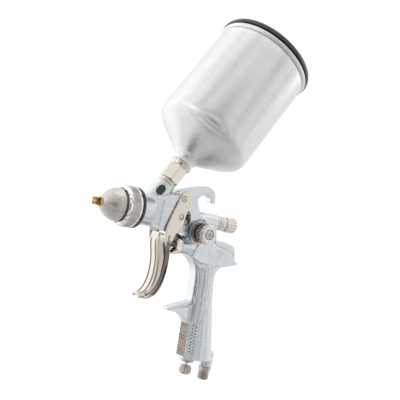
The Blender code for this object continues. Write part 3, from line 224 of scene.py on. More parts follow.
LOOK = {
    # The satin casting's marks are painted shade in its cuts and a painted dark reflection on the fan boss
    "satin": metal("satin_cast_plate", (0.70, 0.73, 0.755), 0.26, "none", 0.03, (0.64, 0.675, 0.705),
    bump=0.10,
                   painted_dark=0.85, deep=0.36),
    "strip": metal("dark_strip_plate", (0.34, 0.30, 0.26), 0.26, "none", 0.10, (0.22, 0.18, 0.15),
    bump=0.2),
    "nickel": metal("polished_nickel", (0.74, 0.69, 0.63), 0.055, "none", 0.02, (0.70, 0.64, 0.56),
    bump=0.02,
                    worn=0.35, spread=0.03),
    "dome": metal("cap_plate", (0.63, 0.605, 0.57), 0.30, "round", 0.08, (0.52, 0.48, 0.43), bump=0.3,
    spread=0.05),
    # A darker copy of the polished nickel, as painted dark reflection
    "painted_dark_nickel": metal("painted_dark_nickel", (0.26, 0.225, 0.205), 0.07, "none", 0.03, (0.16, 0.13, 0.115),
    bump=0.03,
                         worn=0.7, spread=0.03),
    # The trigger's marked flanges and bends take painted dark reflections, nearly black
    "lever": metal("lever_nickel", (0.70, 0.65, 0.59), 0.055, "none", 0.02, (0.64, 0.58, 0.50), bump=0.02,
                   worn=0.35, spread=0.03, painted_dark=1.0, deep=0.08),
    "turned_nickel": metal("turned_nickel", (0.72, 0.68, 0.63), 0.16, "round", 0.07, (0.66, 0.60, 0.53),
                           bump=0.25, spread=0.04),
    "ring": metal("knurled_ring_plate", (0.52, 0.46, 0.45), 0.28, "along", 0.16, (0.46, 0.40, 0.39),
    bump=0.3),
    "bright": metal("bright_edge_plate", (0.86, 0.85, 0.83), 0.10, "round", 0.04, bump=0.1, spread=0.03),
    "fitting": metal("warm_grey_plate", (0.56, 0.48, 0.45), 0.24, "round", 0.10, (0.50, 0.42, 0.38),
    bump=0.3),
    "brass": metal("aged_brass", (0.58, 0.37, 0.12), 0.24, "round", 0.12, (0.36, 0.21, 0.07), bump=0.2),
    "steel": metal("turned_steel", (0.62, 0.62, 0.61), 0.22, "round", 0.08, (0.54, 0.54, 0.53), bump=0.25),
    "spring": metal("spring_wire", (0.45, 0.45, 0.46), 0.30, "none", 0.10, (0.36, 0.36, 0.36), bump=0.2),
    "cup": metal("spun_aluminium", (0.74, 0.745, 0.745), 0.29, "round", 0.04, (0.71, 0.72, 0.725),
    aniso=0.55,
                 bump=0.2, spread=0.03),
    "black": plastic("gloss_black", (0.012, 0.012, 0.013), 0.22, 0.4),
    "inlay": plastic("inlay_black", (0.02, 0.02, 0.022), 0.30, 0.2),
    "rubber": plastic("black_rubber", (0.022, 0.022, 0.022), 0.62, 0.0),
    "ptfe": plastic("white_seal", (0.78, 0.78, 0.75), 0.45, 0.0, 0.04),
}


# ---------------------------------------------------------------- drawing tools

def spline(points, per=6):
    """A smooth run through (radius, height) points, none of its own points rounded again."""
    p = np.array([q[:2] for q in points], float)
    p = np.vstack([2 * p[0] - p[1], p, 2 * p[-1] - p[-2]])
    out = []
    for i in range(1, len(p) - 2):
        for k in range(per):
            t = k / per
            a, b, c, d = p[i - 1], p[i], p[i + 1], p[i + 2]
            q = 0.5 * (2 * b + (c - a) * t + (2 * a - 5 * b + 4 * c - d) * t * t
                       + (3 * b - a - 3 * c + d) * t ** 3)
            out.append((float(q[0]), float(q[1]), 0.0))
    out.append((float(p[-2][0]), float(p[-2][1]), 0.0))
    return out


def rounded(points, closed, default, steps=3):
    """The points of an outline with an arc at each corner."""
    out = []
    count = len(points)
    for i, point in enumerate(points):
        radius = point[2] if len(point) > 2 else default
        here = np.array(point[:2], float)
        if radius <= 0 or (not closed and i in (0, count - 1)):
            out.append(here)
            continue
        before = np.array(points[i - 1][:2], float) - here
        after = np.array(points[(i + 1) % count][:2], float) - here
        lb, la = np.linalg.norm(before), np.linalg.norm(after)
        before, after = before / lb, after / la
        angle = math.acos(max(-1.0, min(1.0, float(before @ after))))
        if angle > math.radians(168):
            out.append(here)
            continue
        reach = min(radius / math.tan(angle / 2), 0.45 * lb, 0.45 * la)
        a, c = here + before * reach, here + after * reach
        for k in range(steps + 1):
            t = k / steps
            out.append((1 - t) ** 2 * a + 2 * t * (1 - t) * here + t * t * c)
    return out


def place(name, mesh, at, along, material, turn=0.0):
    """A mesh drawn in millimetres, its local Z laid along a direction at a point of the barrel's frame."""
    obj = bpy.data.objects.new(name, mesh)
    bpy.context.scene.collection.objects.link(obj)
    rotation = Z_AXIS.rotation_difference(Vector(along)).to_matrix().to_4x4()
    obj.matrix_world = Matrix.Translation((Vector(at) - CROWN) * MM) @ rotation @ Matrix.Rotation(turn, 4,
            "Z")
    if material:
        mesh.materials.append(material)
    return obj


def shade(mesh, degrees=38):
    mesh.shade_smooth()
    mesh.set_sharp_from_angle(angle=math.radians(degrees))


def rings_mesh(name, rings, closed):
    """Faces through rings of points; a ring with one point is a pole."""
    verts, starts = [], []
    for ring in rings:
        starts.append(len(verts))
        verts += [tuple(c * MM for c in p) for p in ring]
    faces = []
    pairs = list(zip(range(len(rings)), list(range(1, len(rings))) + [0]))
    for a, b in pairs if closed else pairs[:-1]:
        na, nb = len(rings[a]), len(rings[b])
        sa, sb = starts[a], starts[b]
        steps = max(na, nb)
        for i in range(steps):
            j = (i + 1) % steps
            if na == 1:
                faces.append((sa, sb + j, sb + i))
            elif nb == 1:
                faces.append((sa + i, sa + j, sb))
            else:
                faces.append((sa + i, sa + j, sb + j, sb + i))
    mesh = bpy.data.meshes.new(name)
    mesh.from_pydata(verts, [], faces)
    shape = bmesh.new()
    shape.from_mesh(mesh)
    bmesh.ops.recalc_face_normals(shape, faces=shape.faces)
    if shape.calc_volume(signed=True) < 0:
        bmesh.ops.reverse_faces(shape, faces=shape.faces)
    shape.to_mesh(mesh)
    shape.free()
    return mesh


def lathe(name, profile, at, along, look, steps=96, fillet=0.25, form=None, turn=0.0, sharp=38):
    """A turned piece; form(turn, radius, height) may change the radius, for flats, flutes and knurling."""
    closed = profile[0][0] > 0
    outline = rounded(profile, closed, fillet)
    rings = []
    for r, h in outline:
        if r < 1e-6:
            rings.append([(0.0, 0.0, h)])
            continue
        ring = []
        for i in range(steps):
            angle = 2 * math.pi * i / steps
            radius = form(angle, r, h) if form else r
            ring.append((radius * math.cos(angle), radius * math.sin(angle), h))
        rings.append(ring)
    mesh = rings_mesh(name, rings, closed)
    shade(mesh, sharp)
    return place(name, mesh, at, along, LOOK[look], turn)


def hex_form(corner, low, high, turn=0.0):
    """Six flats between two heights, with corners at the given radius and turn."""
    flat = corner * math.cos(math.pi / 6)

    def form(angle, r, h):
        if not low <= h <= high:
            return r
        off = (angle - turn) % (math.pi / 3) - math.pi / 6
        return min(r, flat / math.cos(off))
    return form


def flutes(count, depth, low, high, least):
    """Scallops round a knob's rim that run out at both ends."""
    def form(angle, r, h):
        if r < least or not low <= h <= high:
            return r
        end = min(1.0, (h - low) / 0.8, (high - h) / 0.8)
        wave = 0.5 + 0.5 * math.cos(count * angle)
        return r - depth * end * wave ** 0.8
    return form


def ribs(count, depth, low, high, least):
    """Fine straight knurling round a band."""
    def form(angle, r, h):
        if r < least or not low <= h <= high:
            return r
        return r - depth * abs((angle * count / (2 * math.pi)) % 1.0 - 0.5) * 2
    return form


def take(obj, body, slot, *nodes):
    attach(obj, body)
    if nodes:
        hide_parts(*nodes)
    return obj


def bake(obj):
    """The object's modifiers made part of its mesh."""
    bpy.context.view_layer.update()
    graph = bpy.context.evaluated_depsgraph_get()
    mesh = bpy.data.meshes.new_from_object(obj.evaluated_get(graph))
    old = obj.data
    obj.modifiers.clear()
    obj.data = mesh
    bpy.data.meshes.remove(old)
    return obj


def outline_piece(name, points, half, bevel=0.0, across_y=True, segments=3):
    """A flat outline pushed out both ways, its rims rounded."""
    shape = bmesh.new()
    low = [shape.verts.new((x * MM, y * MM, -half * MM)) for x, y in points]
    high = [shape.verts.new((x * MM, y * MM, half * MM)) for x, y in points]
    count = len(points)
    rims = []
    shape.faces.new(low[::-1])
    shape.faces.new(high)
    for i in range(count):
        j = (i + 1) % count
        shape.faces.new((low[i], low[j], high[j], high[i]))
    shape.edges.ensure_lookup_table()
    for edge in shape.edges:
        if abs(edge.verts[0].co.z - edge.verts[1].co.z) < 1e-9:
            rims.append(edge)
    if bevel:
        bmesh.ops.bevel(shape, geom=rims, offset=bevel * MM, segments=segments, profile=0.5, affect="EDGES",
                        clamp_overlap=True)
    bmesh.ops.recalc_face_normals(shape, faces=shape.faces)
    mesh = bpy.data.meshes.new(name)
    shape.to_mesh(mesh)
    shape.free()
    if across_y:
        mesh.transform(Matrix.Rotation(math.pi / 2, 4, "X"))
    return mesh


def smooth_outline(points, corner=48, per=4):
    """A closed outline with curves through its gentle points and its sharp corners kept."""
    p = np.array(points, float)
    count = len(p)
    turns = []
    for i in range(count):
        a, b = p[i] - p[i - 1], p[(i + 1) % count] - p[i]
        cross = a[0] * b[1] - a[1] * b[0]
        turns.append(abs(math.degrees(math.atan2(cross, a @ b))))
    out = []
    for i in range(count):
        j = (i + 1) % count
        a, b, c, d = p[i - 1], p[i], p[j], p[(j + 1) % count]
        length = np.linalg.norm(c - b)
        mb = (c - b) if turns[i] > corner else _slope(a, c, length)
        mc = (c - b) if turns[j] > corner else _slope(b, d, length)
        for k in range(per):
            t = k / per
            q = ((2 * t ** 3 - 3 * t * t + 1) * b + (t ** 3 - 2 * t * t + t) * mb
                 + (3 * t * t - 2 * t ** 3) * c + (t ** 3 - t * t) * mc)
            out.append((float(q[0]), float(q[1])))
    return out


def _slope(a, c, length):
    run = c - a
    return run / max(np.linalg.norm(run), 1e-9) * length


def joined(name, objects, voxel, smooth, smooth_factor=0.5):
    """One skin round several overlapping bodies, with its inner corners filleted."""
    shape = bmesh.new()
    for obj in objects:
        bpy.context.view_layer.update()
        mesh = obj.data.copy()
        mesh.transform(obj.matrix_world)
        shape.from_mesh(mesh)
        bpy.data.meshes.remove(mesh)
    mesh = bpy.data.meshes.new(name)
    shape.to_mesh(mesh)
    shape.free()
    for obj in objects:
        bpy.data.objects.remove(obj, do_unlink=True)
    obj = bpy.data.objects.new(name, mesh)
    bpy.context.scene.collection.objects.link(obj)
    skin = obj.modifiers.new("skin", "REMESH")
    skin.mode = "VOXEL"
    skin.voxel_size = voxel * MM
    relax = obj.modifiers.new("relax", "SMOOTH")
    relax.factor = smooth_factor
    relax.iterations = smooth
    return bake(obj)


def drill(obj, tools, solver="MANIFOLD"):
    """Cut the tools out of an object and drop them."""
    for tool in tools:
        cut = obj.modifiers.new("cut", "BOOLEAN")
        cut.operation = "DIFFERENCE"
        cut.solver = solver
        cut.object = tool
    bake(obj)
    for tool in tools:
        bpy.data.objects.remove(tool, do_unlink=True)
    return obj


def tool_rod(radius, start, end, at, along, steps=48):
    return lathe("tool", [(0, end), (radius, end), (radius, start), (0, start)], at, along, "steel", steps,
            0.0)


def tool_turned(profile, at, along, steps=48):
    return lathe("tool", profile, at, along, "steel", steps, 0.0)


def flat(name, points, half, bevel=0.0, at=(0, 0, 0)):
    """An outline of (x, z) points across Y, in the barrel's frame."""
    return place(name, outline_piece(name, points, half, bevel), at, Z_AXIS, None)


# ---------------------------------------------------------------- casting

GRIP_FRONT = [(-16.6, 50), (-33, 52), (-35.5, 57), (-38.5, 61), (-43, 64.5), (-50, 66.8), (-57.6, 67.8),
              (-74, 68.4), (-94, 68.8), (-97, 69.6), (-115, 70.6), (-130, 71.6)]
GRIP_REAR = [(-16.6, 99), (-18.2, 104.5), (-20, 108), (-24, 109.8), (-30.8, 111.6), (-33, 113.4),
             (-35, 118.8), (-36.6, 117.2), (-38, 108.5), (-39.6, 102.5), (-42, 97), (-45, 93.8),
             (-50, 91.8), (-55, 91.6), (-63, 93), (-72, 94.9), (-100, 101.8), (-126, 108.2), (-130, 109)]
GRIP_HALF = [(-16.6, 8.6), (-20, 9.6), (-30, 9.8), (-36, 9.4), (-45, 10.4), (-57, 11.2),
             (-75, 11.6), (-100, 12), (-130, 12)]


def monotone(table, values):
    """Smooth reading of a table of (key, value) pairs that never overshoots."""
    keys = np.array([k for k, _ in table][::-1], float)
    vals = np.array([v for _, v in table][::-1], float)
    step, rise = np.diff(keys), np.diff(vals)
    slope = rise / step
    m = np.zeros(len(keys))
    for i in range(1, len(keys) - 1):
        if slope[i - 1] * slope[i] > 0:
            w1, w2 = 2 * step[i] + step[i - 1], step[i] + 2 * step[i - 1]
            m[i] = (w1 + w2) / (w1 / slope[i - 1] + w2 / slope[i])
    m[0], m[-1] = slope[0], slope[-1]
    out = []
    for v in values:
        i = int(np.clip(np.searchsorted(keys, v) - 1, 0, len(keys) - 2))
        h = step[i]
        t = (v - keys[i]) / h
        out.append((2 * t ** 3 - 3 * t * t + 1) * vals[i] + (t ** 3 - 2 * t * t + t) * h * m[i]
                   + (3 * t * t - 2 * t ** 3) * vals[i + 1] + (t ** 3 - t * t) * h * m[i + 1])
    return out


def grip_rings():
    levels = np.unique(np.concatenate([np.linspace(-130, -40, 90), np.linspace(-40, -16.6, 60)]))
    fronts, rears, halves = (monotone(t, levels) for t in (GRIP_FRONT, GRIP_REAR, GRIP_HALF))
    rings = []
    for z, front, rear, half in zip(levels, fronts, rears, halves):
        depth = rear - front
        middle = front + 0.52 * depth
        side = [(front, 0.0), (front, 4.6), (front + 0.25, 5.3), (front + 1.4, 7.0),
                (front + 0.20 * depth, 0.83 * half), (front + 0.36 * depth, 0.96 * half)]
        for angle in (0, 22, 42, 60, 76, 90):
            turn = math.radians(angle)
            side.append((middle + (rear - middle) * math.sin(turn), half * math.cos(turn)))
        curve = spline(side, 4)
        left = [(x, y, z) for x, y, _ in curve]
        rings.append(left + [(x, -y, z) for x, y, _ in reversed(curve[1:-1])])
    centre = [(sum(p[0] for p in r) / len(r), 0.0, r[0][2]) for r in (rings[0], rings[-1])]
    return [[centre[0]]] + rings + [[centre[1]]]


def hook_points():
    x, z = CROWN.x, CROWN.z
    inner = x + 15.2 * 0.55
    outer = inner + 4.9
    return [
        (12, 12), (16, 18.6), (24.5, 20.0), (28, 22.2), (35.5, 24.9), (44, 27.4), (x - 5, z + 7), (x + 3.4,
        z + 8.2),
        (x + 8, z + 7), (outer - 1.6, z + 3.6), (outer, z - 1.2), (outer + 0.1, z - 4), (outer + 0.1,
        z - 6.2),
        (inner + 0.2, z - 6.2), (inner, z - 4), (inner - 0.4, z - 2.4), (inner - 2, z - 0.8), (x + 3, z),
        (x, z), (x - 3, z - 1.4), (x - 6.4, z - 4), (x - 6.8, z - 7.2),
        (x - 4.5, z - 10.7), (x - 2, z - 15.5), (x, -2), (20, -2), (12, 4),
    ]


BLOCK = [(1.5, -13.2), (10, -14.2), (18.4, -15.6), (29, -14.8), (33, -14.2), (45, -14.2), (53, -18), (62,
        -18),
         (62, 3), (50, 6.4), (44, 9), (40, 16), (35, 18), (16, 17.5), (6, 13), (1.5, 8)]
GUARD = [(76, -74.5), (70, -75), (63.2, -77.2), (52.3, -80.8), (44.6, -83.2), (42.8, -84.6), (44.4, -86),
         (55.6, -87.4), (61, -89.4), (66.5, -93.5), (70, -97.5), (76, -98)]
HOUSING = [(62, -17.0), (78.3, -16.6), (90.8, -16.8), (101.3, -17.9), (104.7, -20.9),
           (106.2, -26), (107.5, -31.3), (109.0, -33.2), (112.4, -34.6), (110.2, -36.3),
           (104, -37.8), (98.1, -39.1), (88, -40), (66, -38), (56, -34)]
WAIST = [(47, 0.9), (78.8, 0.9), (79.9, -8), (83.3, -18.9), (47, -18.9)]


def dense_line(points, per=8):
    return np.array([p[:2] for p in spline(points, per)])


def near(xz, line):
    """Distance from each point to a polyline, and how far along it the nearest place is, from 0 to 1."""
    best = np.full(len(xz), 1e9)
    where = np.zeros(len(xz))
    total = len(line) - 1
    for i in range(total):
        a, b = line[i], line[i + 1]
        ab = b - a
        t = np.clip(((xz - a) @ ab) / (ab @ ab), 0, 1)
        d = np.linalg.norm(xz - (a + t[:, None] * ab), axis=1)
        closer = d < best
        best[closer] = d[closer]
        where[closer] = (i + t[closer]) / total
    return best, where


RIB_PITCH = 2.6
SERRATION_PITCH = 3.4
STUD_PITCH = 3.1
STUD_COUNT = 18
FRONT_EDGE_Y = 5.9
DARK_RING_R = (10.4, 12.6)
GROOVES = [
    ([(82.5, -39), (83.2, -50), (84.6, -64), (84.6, -74), (81.5, -84), (78.6, -94), (79.6, -105), (80.4,
    -120)],
     0.9, 0.3),
    ([(87.2, -44), (87.6, -56), (89.4, -68), (90.2, -76), (88.4, -85), (86.2, -94), (87.6, -106), (90.4,
    -120)],
     0.8, 0.22),
    ([(63.6, -41), (68.4, -47), (70.6, -56), (71.4, -68), (70.6, -75), (66.0, -80.5), (58, -83)], 0.9, 0.6),
    ([(73.6, -40), (73.9, -52), (74.5, -66), (74.6, -72)], 0.6, 0.3),
    ([(80.2, -40), (80.6, -52), (81.3, -66), (81.4, -72)], 0.6, 0.3),
    ([(73.6, -40), (80.2, -40)], 0.6, 0.3),
    ([(74.6, -72), (81.4, -72)], 0.6, 0.3),
]


def carve(obj):
    """The casting's grooves, ribs, studs, serrations and step, pressed into its skin; their depth is also
    kept as painted shade in the cuts.
    """
    mesh = obj.data
    count = len(mesh.vertices)
    co = np.empty(count * 3, np.float32)
    no = np.empty(count * 3, np.float32)
    mesh.vertices.foreach_get("co", co)
    mesh.vertex_normals.foreach_get("vector", no)
    co = co.reshape(-1, 3).astype(float)
    no = no.reshape(-1, 3).astype(float)
    p = co / MM + np.array(CROWN)
    x, y, z = p.T
    xz = p[:, [0, 2]]
    depth = np.zeros(count)
    on_side = np.clip((np.abs(no[:, 1]) - 0.25) * 3, 0, 1)
    grip = (z < -33) & (x > 60)
    for points, wide, deep in GROOVES:
        d, where = near(xz, dense_line(points))
        fade = np.clip(np.minimum(where, 1 - where) * 9, 0.15, 1)
        hit = grip & (d < wide * 2)
        depth[hit] += (deep * np.clip(1 - (d / wide) ** 2, 0, 1) * fade * on_side)[hit]
    front = np.interp(-z, [-t[0] for t in GRIP_FRONT], [t[1] for t in GRIP_FRONT])
    flat_front = grip & (np.abs(y) < 5.6) & (x < front + 2.5) & (no[:, 0] < -0.5)
    rib = (z < -98) & (z > -127) & flat_front & (np.abs(y) < 4.4)
    depth[rib] += (0.55 * np.clip(np.sin(z * 2 * math.pi / RIB_PITCH) * 1.6, 0, 1))[rib]
    for k in range(STUD_COUNT):
        zc = -97.5 - STUD_PITCH * (k // 2) - 1.5 * (k % 2)
        fx = np.interp(-zc, [-t[0] for t in GRIP_FRONT], [t[1] for t in GRIP_FRONT])
        d = np.abs(x - (fx + 4.4 + 2.7 * (k % 2))) + np.abs(z - zc)
        stud = grip & (d < 2.0)
        depth[stud] += (0.95 * np.clip(1.6 - d, 0, 1) * on_side)[stud]
    crease = grip & (z > -79) & (z < -37) & (x < front + 3.5)
    depth[crease] += (0.9 * np.clip(1 - ((np.abs(y) - FRONT_EDGE_Y) / 0.75) ** 2, 0, 1)
                      * np.clip((-37 - z) / 4, 0, 1) * np.clip((z + 79) / 4, 0, 1))[crease]
    zig = (z < -97) & (z > -127) & (x < front + 4) & grip
    zigzag = 0.5 * np.sin(z * 2 * math.pi / RIB_PITCH)
    off_line = (np.abs(y) - FRONT_EDGE_Y - zigzag) / 0.8
    depth[zig] += (0.8 * np.clip(1 - off_line ** 2, 0, 1))[zig]
    rear = np.interp(-z, [-t[0] for t in GRIP_REAR], [t[1] for t in GRIP_REAR])
    back = grip & (z < -80) & (z > -122) & (x > rear - 7)
    depth[back] += (0.6 * np.clip(np.sin(z * 2 * math.pi / SERRATION_PITCH) * 1.8 - 0.2, 0, 1)
                    * np.clip((x - rear + 7) / 3, 0, 1) * np.clip((z + 122) / 4, 0, 1)
                    * np.clip((-80 - z) / 4, 0, 1))[back]
    panel_d, _ = near(xz, dense_line([(52, -3), (66, -3.4), (76, -5), (78, -12), (80, -20), (93, -23),
                                      (104, -27)]))
    panel = (np.abs(y) > 5) & (x > 60) & (z > -30)
    depth[panel] += (0.5 * np.clip(1 - (panel_d / 1.0) ** 2, 0, 1) * on_side)[panel]
    spur_d, _ = near(xz, dense_line([(60, -81.6), (53, -83.4), (46.5, -84.6)]))
    spur = (z < -78) & (x < 62)
    depth[spur] += (0.45 * np.clip(1 - (spur_d / 1.0) ** 2, 0, 1) * on_side)[spur]
    step = np.clip((x - 3.0) / 0.8, 0, 1) * np.clip((11.2 - x) / 0.8, 0,
            1) * (np.abs(y) > 8) * (np.abs(z) < 12)
    depth += 0.35 * step * on_side
    co -= no * (depth * MM)[:, None]
    mesh.vertices.foreach_set("co", co.astype(np.float32).ravel())
    # A painted dark reflection: a ring on the fan valve's boss, in tone only
    reach = np.hypot(x - FAN[0], z - FAN[2])
    ring = (reach > DARK_RING_R[0]) & (reach < DARK_RING_R[1])
    depth[ring & (y < -8.6) & (x < 62) & (z > -19)] = 1.0
    # Kept as marks for the material: painted shade in the cuts, painted dark reflection on the ring
    marks = mesh.attributes.new("painted_dark", "FLOAT", "POINT")
    marks.data.foreach_set("value", np.clip(depth, 0, 1).astype(np.float32))
    mesh.update()


def make_body():
    head_rear = 1.5
    pieces = [
        place("grip", rings_mesh("grip", grip_rings(), False), (0, 0, 0), Z_AXIS, None),
        lathe("head", [(0, 26), (9, 26), (10.5, head_rear + 2.4), (13.4, head_rear + 0.4),
        (14, head_rear, 0.6),
                       (14, HEAD_FRONT_X + 0.8, 0.4), (13.2, HEAD_FRONT_X, 0.3), (13.2, HEAD_FRONT_X - 9.5,
                       0.3),
                       (0, HEAD_FRONT_X - 9.5)], (0, 0, 0), X_AXIS, "satin", 128),
        flat("block", smooth_outline(BLOCK, 30), 11.0, 1.5),
        flat("hook", smooth_outline(hook_points(), 60), 3.8, 1.3),
        flat("guard", smooth_outline(GUARD), 4.8, 1.4),
        flat("waist", smooth_outline(WAIST, 30), 7.2, 1.1),
        flat("housing", smooth_outline(HOUSING, 30), 9.4, 1.2),
        lathe("barrel", [(0, 81), (7.6, 81, 0.7), (7.6, 40), (0, 40)], (0, 0, 0), X_AXIS, "satin", 96),
        lathe("boss", [(0, 30), (9.3, 30, 0.7), (9.6, 22, 4), (9.9, 14, 6), (10.9, 6), (0, 6)], (0, 0, 0),
        CUP_AXIS,
              "satin", 96),
        tool_rod(5.6, -11.3, 11.3, PIVOT, Y_AXIS, 64),
        tool_rod(8.4, 43.4, 64, (0, 0, VALVE_Z), X_AXIS, 96),
        lathe("fan_boss", [(0, 11.5), (11, 11.5, 0.8), (11, -9), (0, -9)], FAN, -Y_AXIS, "satin", 96),
        tool_rod(6.6, -137, -122, (INLET_X, 0, 0), Z_AXIS, 64),
    ]
    body = joined("cast_body", pieces, 0.42, 7)
    carve(body)
    tools = [
        tool_turned([(0, 24), (3.9, 24), (3.9, 5), (2.6, 5), (2.6, -3), (5.8, -3), (5.8, -25), (0, -25)],
                    (0, 0, 0), X_AXIS),
        tool_turned([(0, 82), (6.1, 82), (6.1, 67.5), (5.0, 67.5), (5.0, 42), (0, 42)], (0, 0, 0), X_AXIS),
        tool_turned([(0, 31), (5.9, 31), (5.9, 13), (2.5, 13), (2.5, 1), (0, 1)], (0, 0, 0), CUP_AXIS),
        tool_rod(6.5, 42.4, 100, (0, 0, VALVE_Z), X_AXIS),
        tool_rod(4.2, -5.0, 12.5, FAN, -Y_AXIS),
        tool_rod(2.9, -16, 16, PIVOT, Y_AXIS),
        tool_turned([(0, -28.4), (3, -28.4), (3, -118), (4.8, -118), (4.8, -131), (0, -131)], (MICRO_X, 0,
        0), Z_AXIS),
        tool_rod(5.6, -138, -123, (INLET_X, 0, 0), Z_AXIS),
        inlay_tool(),
    ]
    window = smooth_outline([(23.0, -5.5), (24.5, -7), (41, -7), (43, -5), (43, 3), (40, 6), (24.5, 6),
                             (23.0, 4.5)], 60, 4)
    tools.append(flat("window", window, 20))
    drill(body, tools)
    shade(body.data, 50)
    body.data.materials.clear()
    body.data.materials.append(LOOK["satin"])
    body.data.materials.append(LOOK["strip"])
    darken_strip(body.data)
    take(body, "root", "satin_casting", "gun_body")


def darken_strip(mesh):
    """The ribbed strip down the front of the lower grip has the darker plate."""
    for poly in mesh.polygons:
        x, y, z = poly.center / MM + CROWN
        if -127.5 < z < -96.5 and abs(y) < 5.3 and x < 76 and poly.normal.x < -0.55:
            poly.material_index = 1


def inlay_frame():
    side = -Y_AXIS * math.cos(math.radians(30))
    forward = Y_AXIS.cross(CUP_AXIS).normalized()
    if forward.x > 0:
        forward = -forward
    out = (side + forward * math.sin(math.radians(30))).normalized()
    at = CUP_AXIS * 20.5 + out * 8.7
    basis = Matrix((CUP_AXIS.cross(out), CUP_AXIS, out)).transposed().to_4x4()
    return Matrix.Translation((at - CROWN) * MM) @ basis


def capsule(width, length, count=24):
    straight = (length - width) / 2
    half = [(width / 2 * math.cos(math.pi * i / count),
            straight + width / 2 * math.sin(math.pi * i / count))
            for i in range(count + 1)]
    return half + [(-x, -y) for x, y in half]


def inlay_tool():
    tool = place("inlay_cut", outline_piece("inlay_cut", capsule(7.2, 10.2), 2.0, 0.0, False), (0, 0, 0),
            Z_AXIS, None)
    tool.matrix_world = inlay_frame()
    return tool


def make_inlay():
    inlay = place("boss_capsule", outline_piece("boss_capsule", capsule(6.6, 9.6), 1.0, 0.35, False), (0, 0,
            0),
                  Z_AXIS, LOOK["inlay"])
    inlay.matrix_world = inlay_frame()
    shade(inlay.data)
    take(inlay, "root", "black_plastic", "boss_inlay")


# ---------------------------------------------------------------- nozzle group

def make_nozzle():
    x0, x1, face = RING_X0, RING_X1, CAP_X
    band = [(17.9, h, 0.0) for h in np.linspace(x1 - 2.6, x0 + 4.0, 12)]
    ring = lathe("knurled_ring", [
        (17.3, x1, 0.2), (17.3, x1 - 0.3, 0), (17.75, x1 - 0.6, 0.2), (17.75, x1 - 1.6, 0.1), (17.3,
        x1 - 1.9, 0.1),
        (17.3, x1 - 2.3, 0.1)] + band + [
        (17.2, x0 + 3.7, 0.1), (17.2, x0 + 3.2, 0.1), (17.5, x0 + 2.9, 0.1), (17.2, x0 + 1.2, 0.3),
        (16.4, x0, 0.3), (15.4, x0, 0.2), (15.4, x0 + 1.6, 0.2), (16.3, x0 + 1.6, 0.2), (16.3, x0 + 6.0,
        0.2),
        (13.5, x0 + 7.0, 0.2), (13.5, x1, 0.2)], (0, 0, 0), X_AXIS, "ring", 600, 0.2,
        ribs(100, 0.16, x0 + 3.9, x1 - 2.4, 17.6), sharp=30)
    ring.data.materials.append(LOOK["bright"])
    for poly in ring.data.polygons:
        h = poly.center.z / MM
        r = math.hypot(poly.center.x, poly.center.y) / MM
        if r > 14.8 and (h > x1 - 2.0 or h < x0 + 3.4):
            poly.material_index = 1
    take(ring, "retaining_ring", "ring_nickel", "retaining_ring")
    baffle = lathe("baffle", [
        (17.6, HEAD_FRONT_X - GAP, 0.2), (18.0, -11.3, 0.3), (18.0, x1 + 0.7, 0.3), (17.6, x1 + GAP, 0.2),
        (13.5, x1 + GAP, 0.2), (13.5, HEAD_FRONT_X - GAP, 0.2)], (0, 0, 0), X_AXIS, "black", 128)
    take(baffle, "root", "black_plastic", "baffle_ring")
    dome = spline([(14.2, x0 - 4.2), (13.6, x0 - 7), (12.3, x0 - 9.8), (10.5, x0 - 12.4), (8.3, x0 - 14.9),
                   (6.2, x0 - 17.0), (4.8, face + 0.5)], 5)
    cap = lathe("cap_dome", [
        (15.9, x0 + 5.2), (15.9, x0 + 2.0), (13.9, x0 + 2.0, 0.2), (13.9, x0 - 1.0, 0.3), (14.5, x0 - 1.7,
        0.3),
        (14.7, x0 - 2.4, 0.4), (14.5, x0 - 3.6, 0.4)] + dome + [
        (4.2, face, 0.2), (3.6, face, 0.2), (3.6, face + 4.0), (5.4, face + 5.2), (10.3, x0 - 8),
        (12.1, x0), (12.5, x0 + 5.2)], (0, 0, 0), X_AXIS, "dome", 160, 0.25)
    take(cap, "air_cap", "bright_nickel", "air_cap")
    make_horns(face)
    tip = face - 0.6
    nozzle = lathe("nozzle_tip", [
        (0.75, tip, 0.1), (1.5, tip, 0.2), (2.1, tip + 4), (5.2, tip + 11), (7.6, x0 - 2), (8.4, x0 + 1),
        (8.4, x0 + 4.6), (5.5, x0 + 4.6), (5.5, -3.6), (3.4, -3.6), (3.0, tip + 9), (0.75, tip + 2.5)],
        (0, 0, 0), X_AXIS, "steel", 64)
    take(nozzle, "root", "stainless", "fluid_nozzle")


def make_horns(face):
    """The brass insert in the cap, with its two horns and their jets."""
    sleeve = lathe("horn_sleeve", [
        (3.3, face + 3.6), (3.3, face - 0.3), (4.5, face - 0.3, 0.15), (4.5, face - 1.2, 0.2), (2.2,
        face - 1.2, 0.2),
        (2.2, face - 0.2), (2.5, face + 3.6)], (0, 0, 0), X_AXIS, "brass", 64)
    tip = face - 5.7
    tools = []
    for side in (-1, 1):
        points = smooth_outline([(face - 0.5, 2.3 * side), (tip, 3.1 * side), (tip - 0.2, 4.2 * side),
                                 (tip + 0.6, 4.9 * side), (face - 0.5, 4.45 * side)], 30)
        if side < 0:
            points = points[::-1]
        horn = place("horn", outline_piece("horn", points, 3.1, 0.5, False), (0, 0, 0), Z_AXIS,
                LOOK["brass"])
        union = sleeve.modifiers.new("join", "BOOLEAN")
        union.operation = "UNION"
        union.solver = "EXACT"
        union.object = horn
        bake(sleeve)
        bpy.data.objects.remove(horn, do_unlink=True)
        tools.append(tool_rod(0.55, -6, 6, (tip + 1.6, 4 * side, 0), Vector((-0.6, -side, 0)).normalized(),
                24))
        tools.append(tool_rod(0.4, -6, 6, (tip + 3.4, 4 * side, 0), Vector((-0.4, -side, 0)).normalized(),
                16))
    drill(sleeve, tools, "EXACT")
    shade(sleeve.data, 32)
    take(sleeve, "air_cap", "brass", "air_cap_horns")


# ---------------------------------------------------------------- barrel fittings

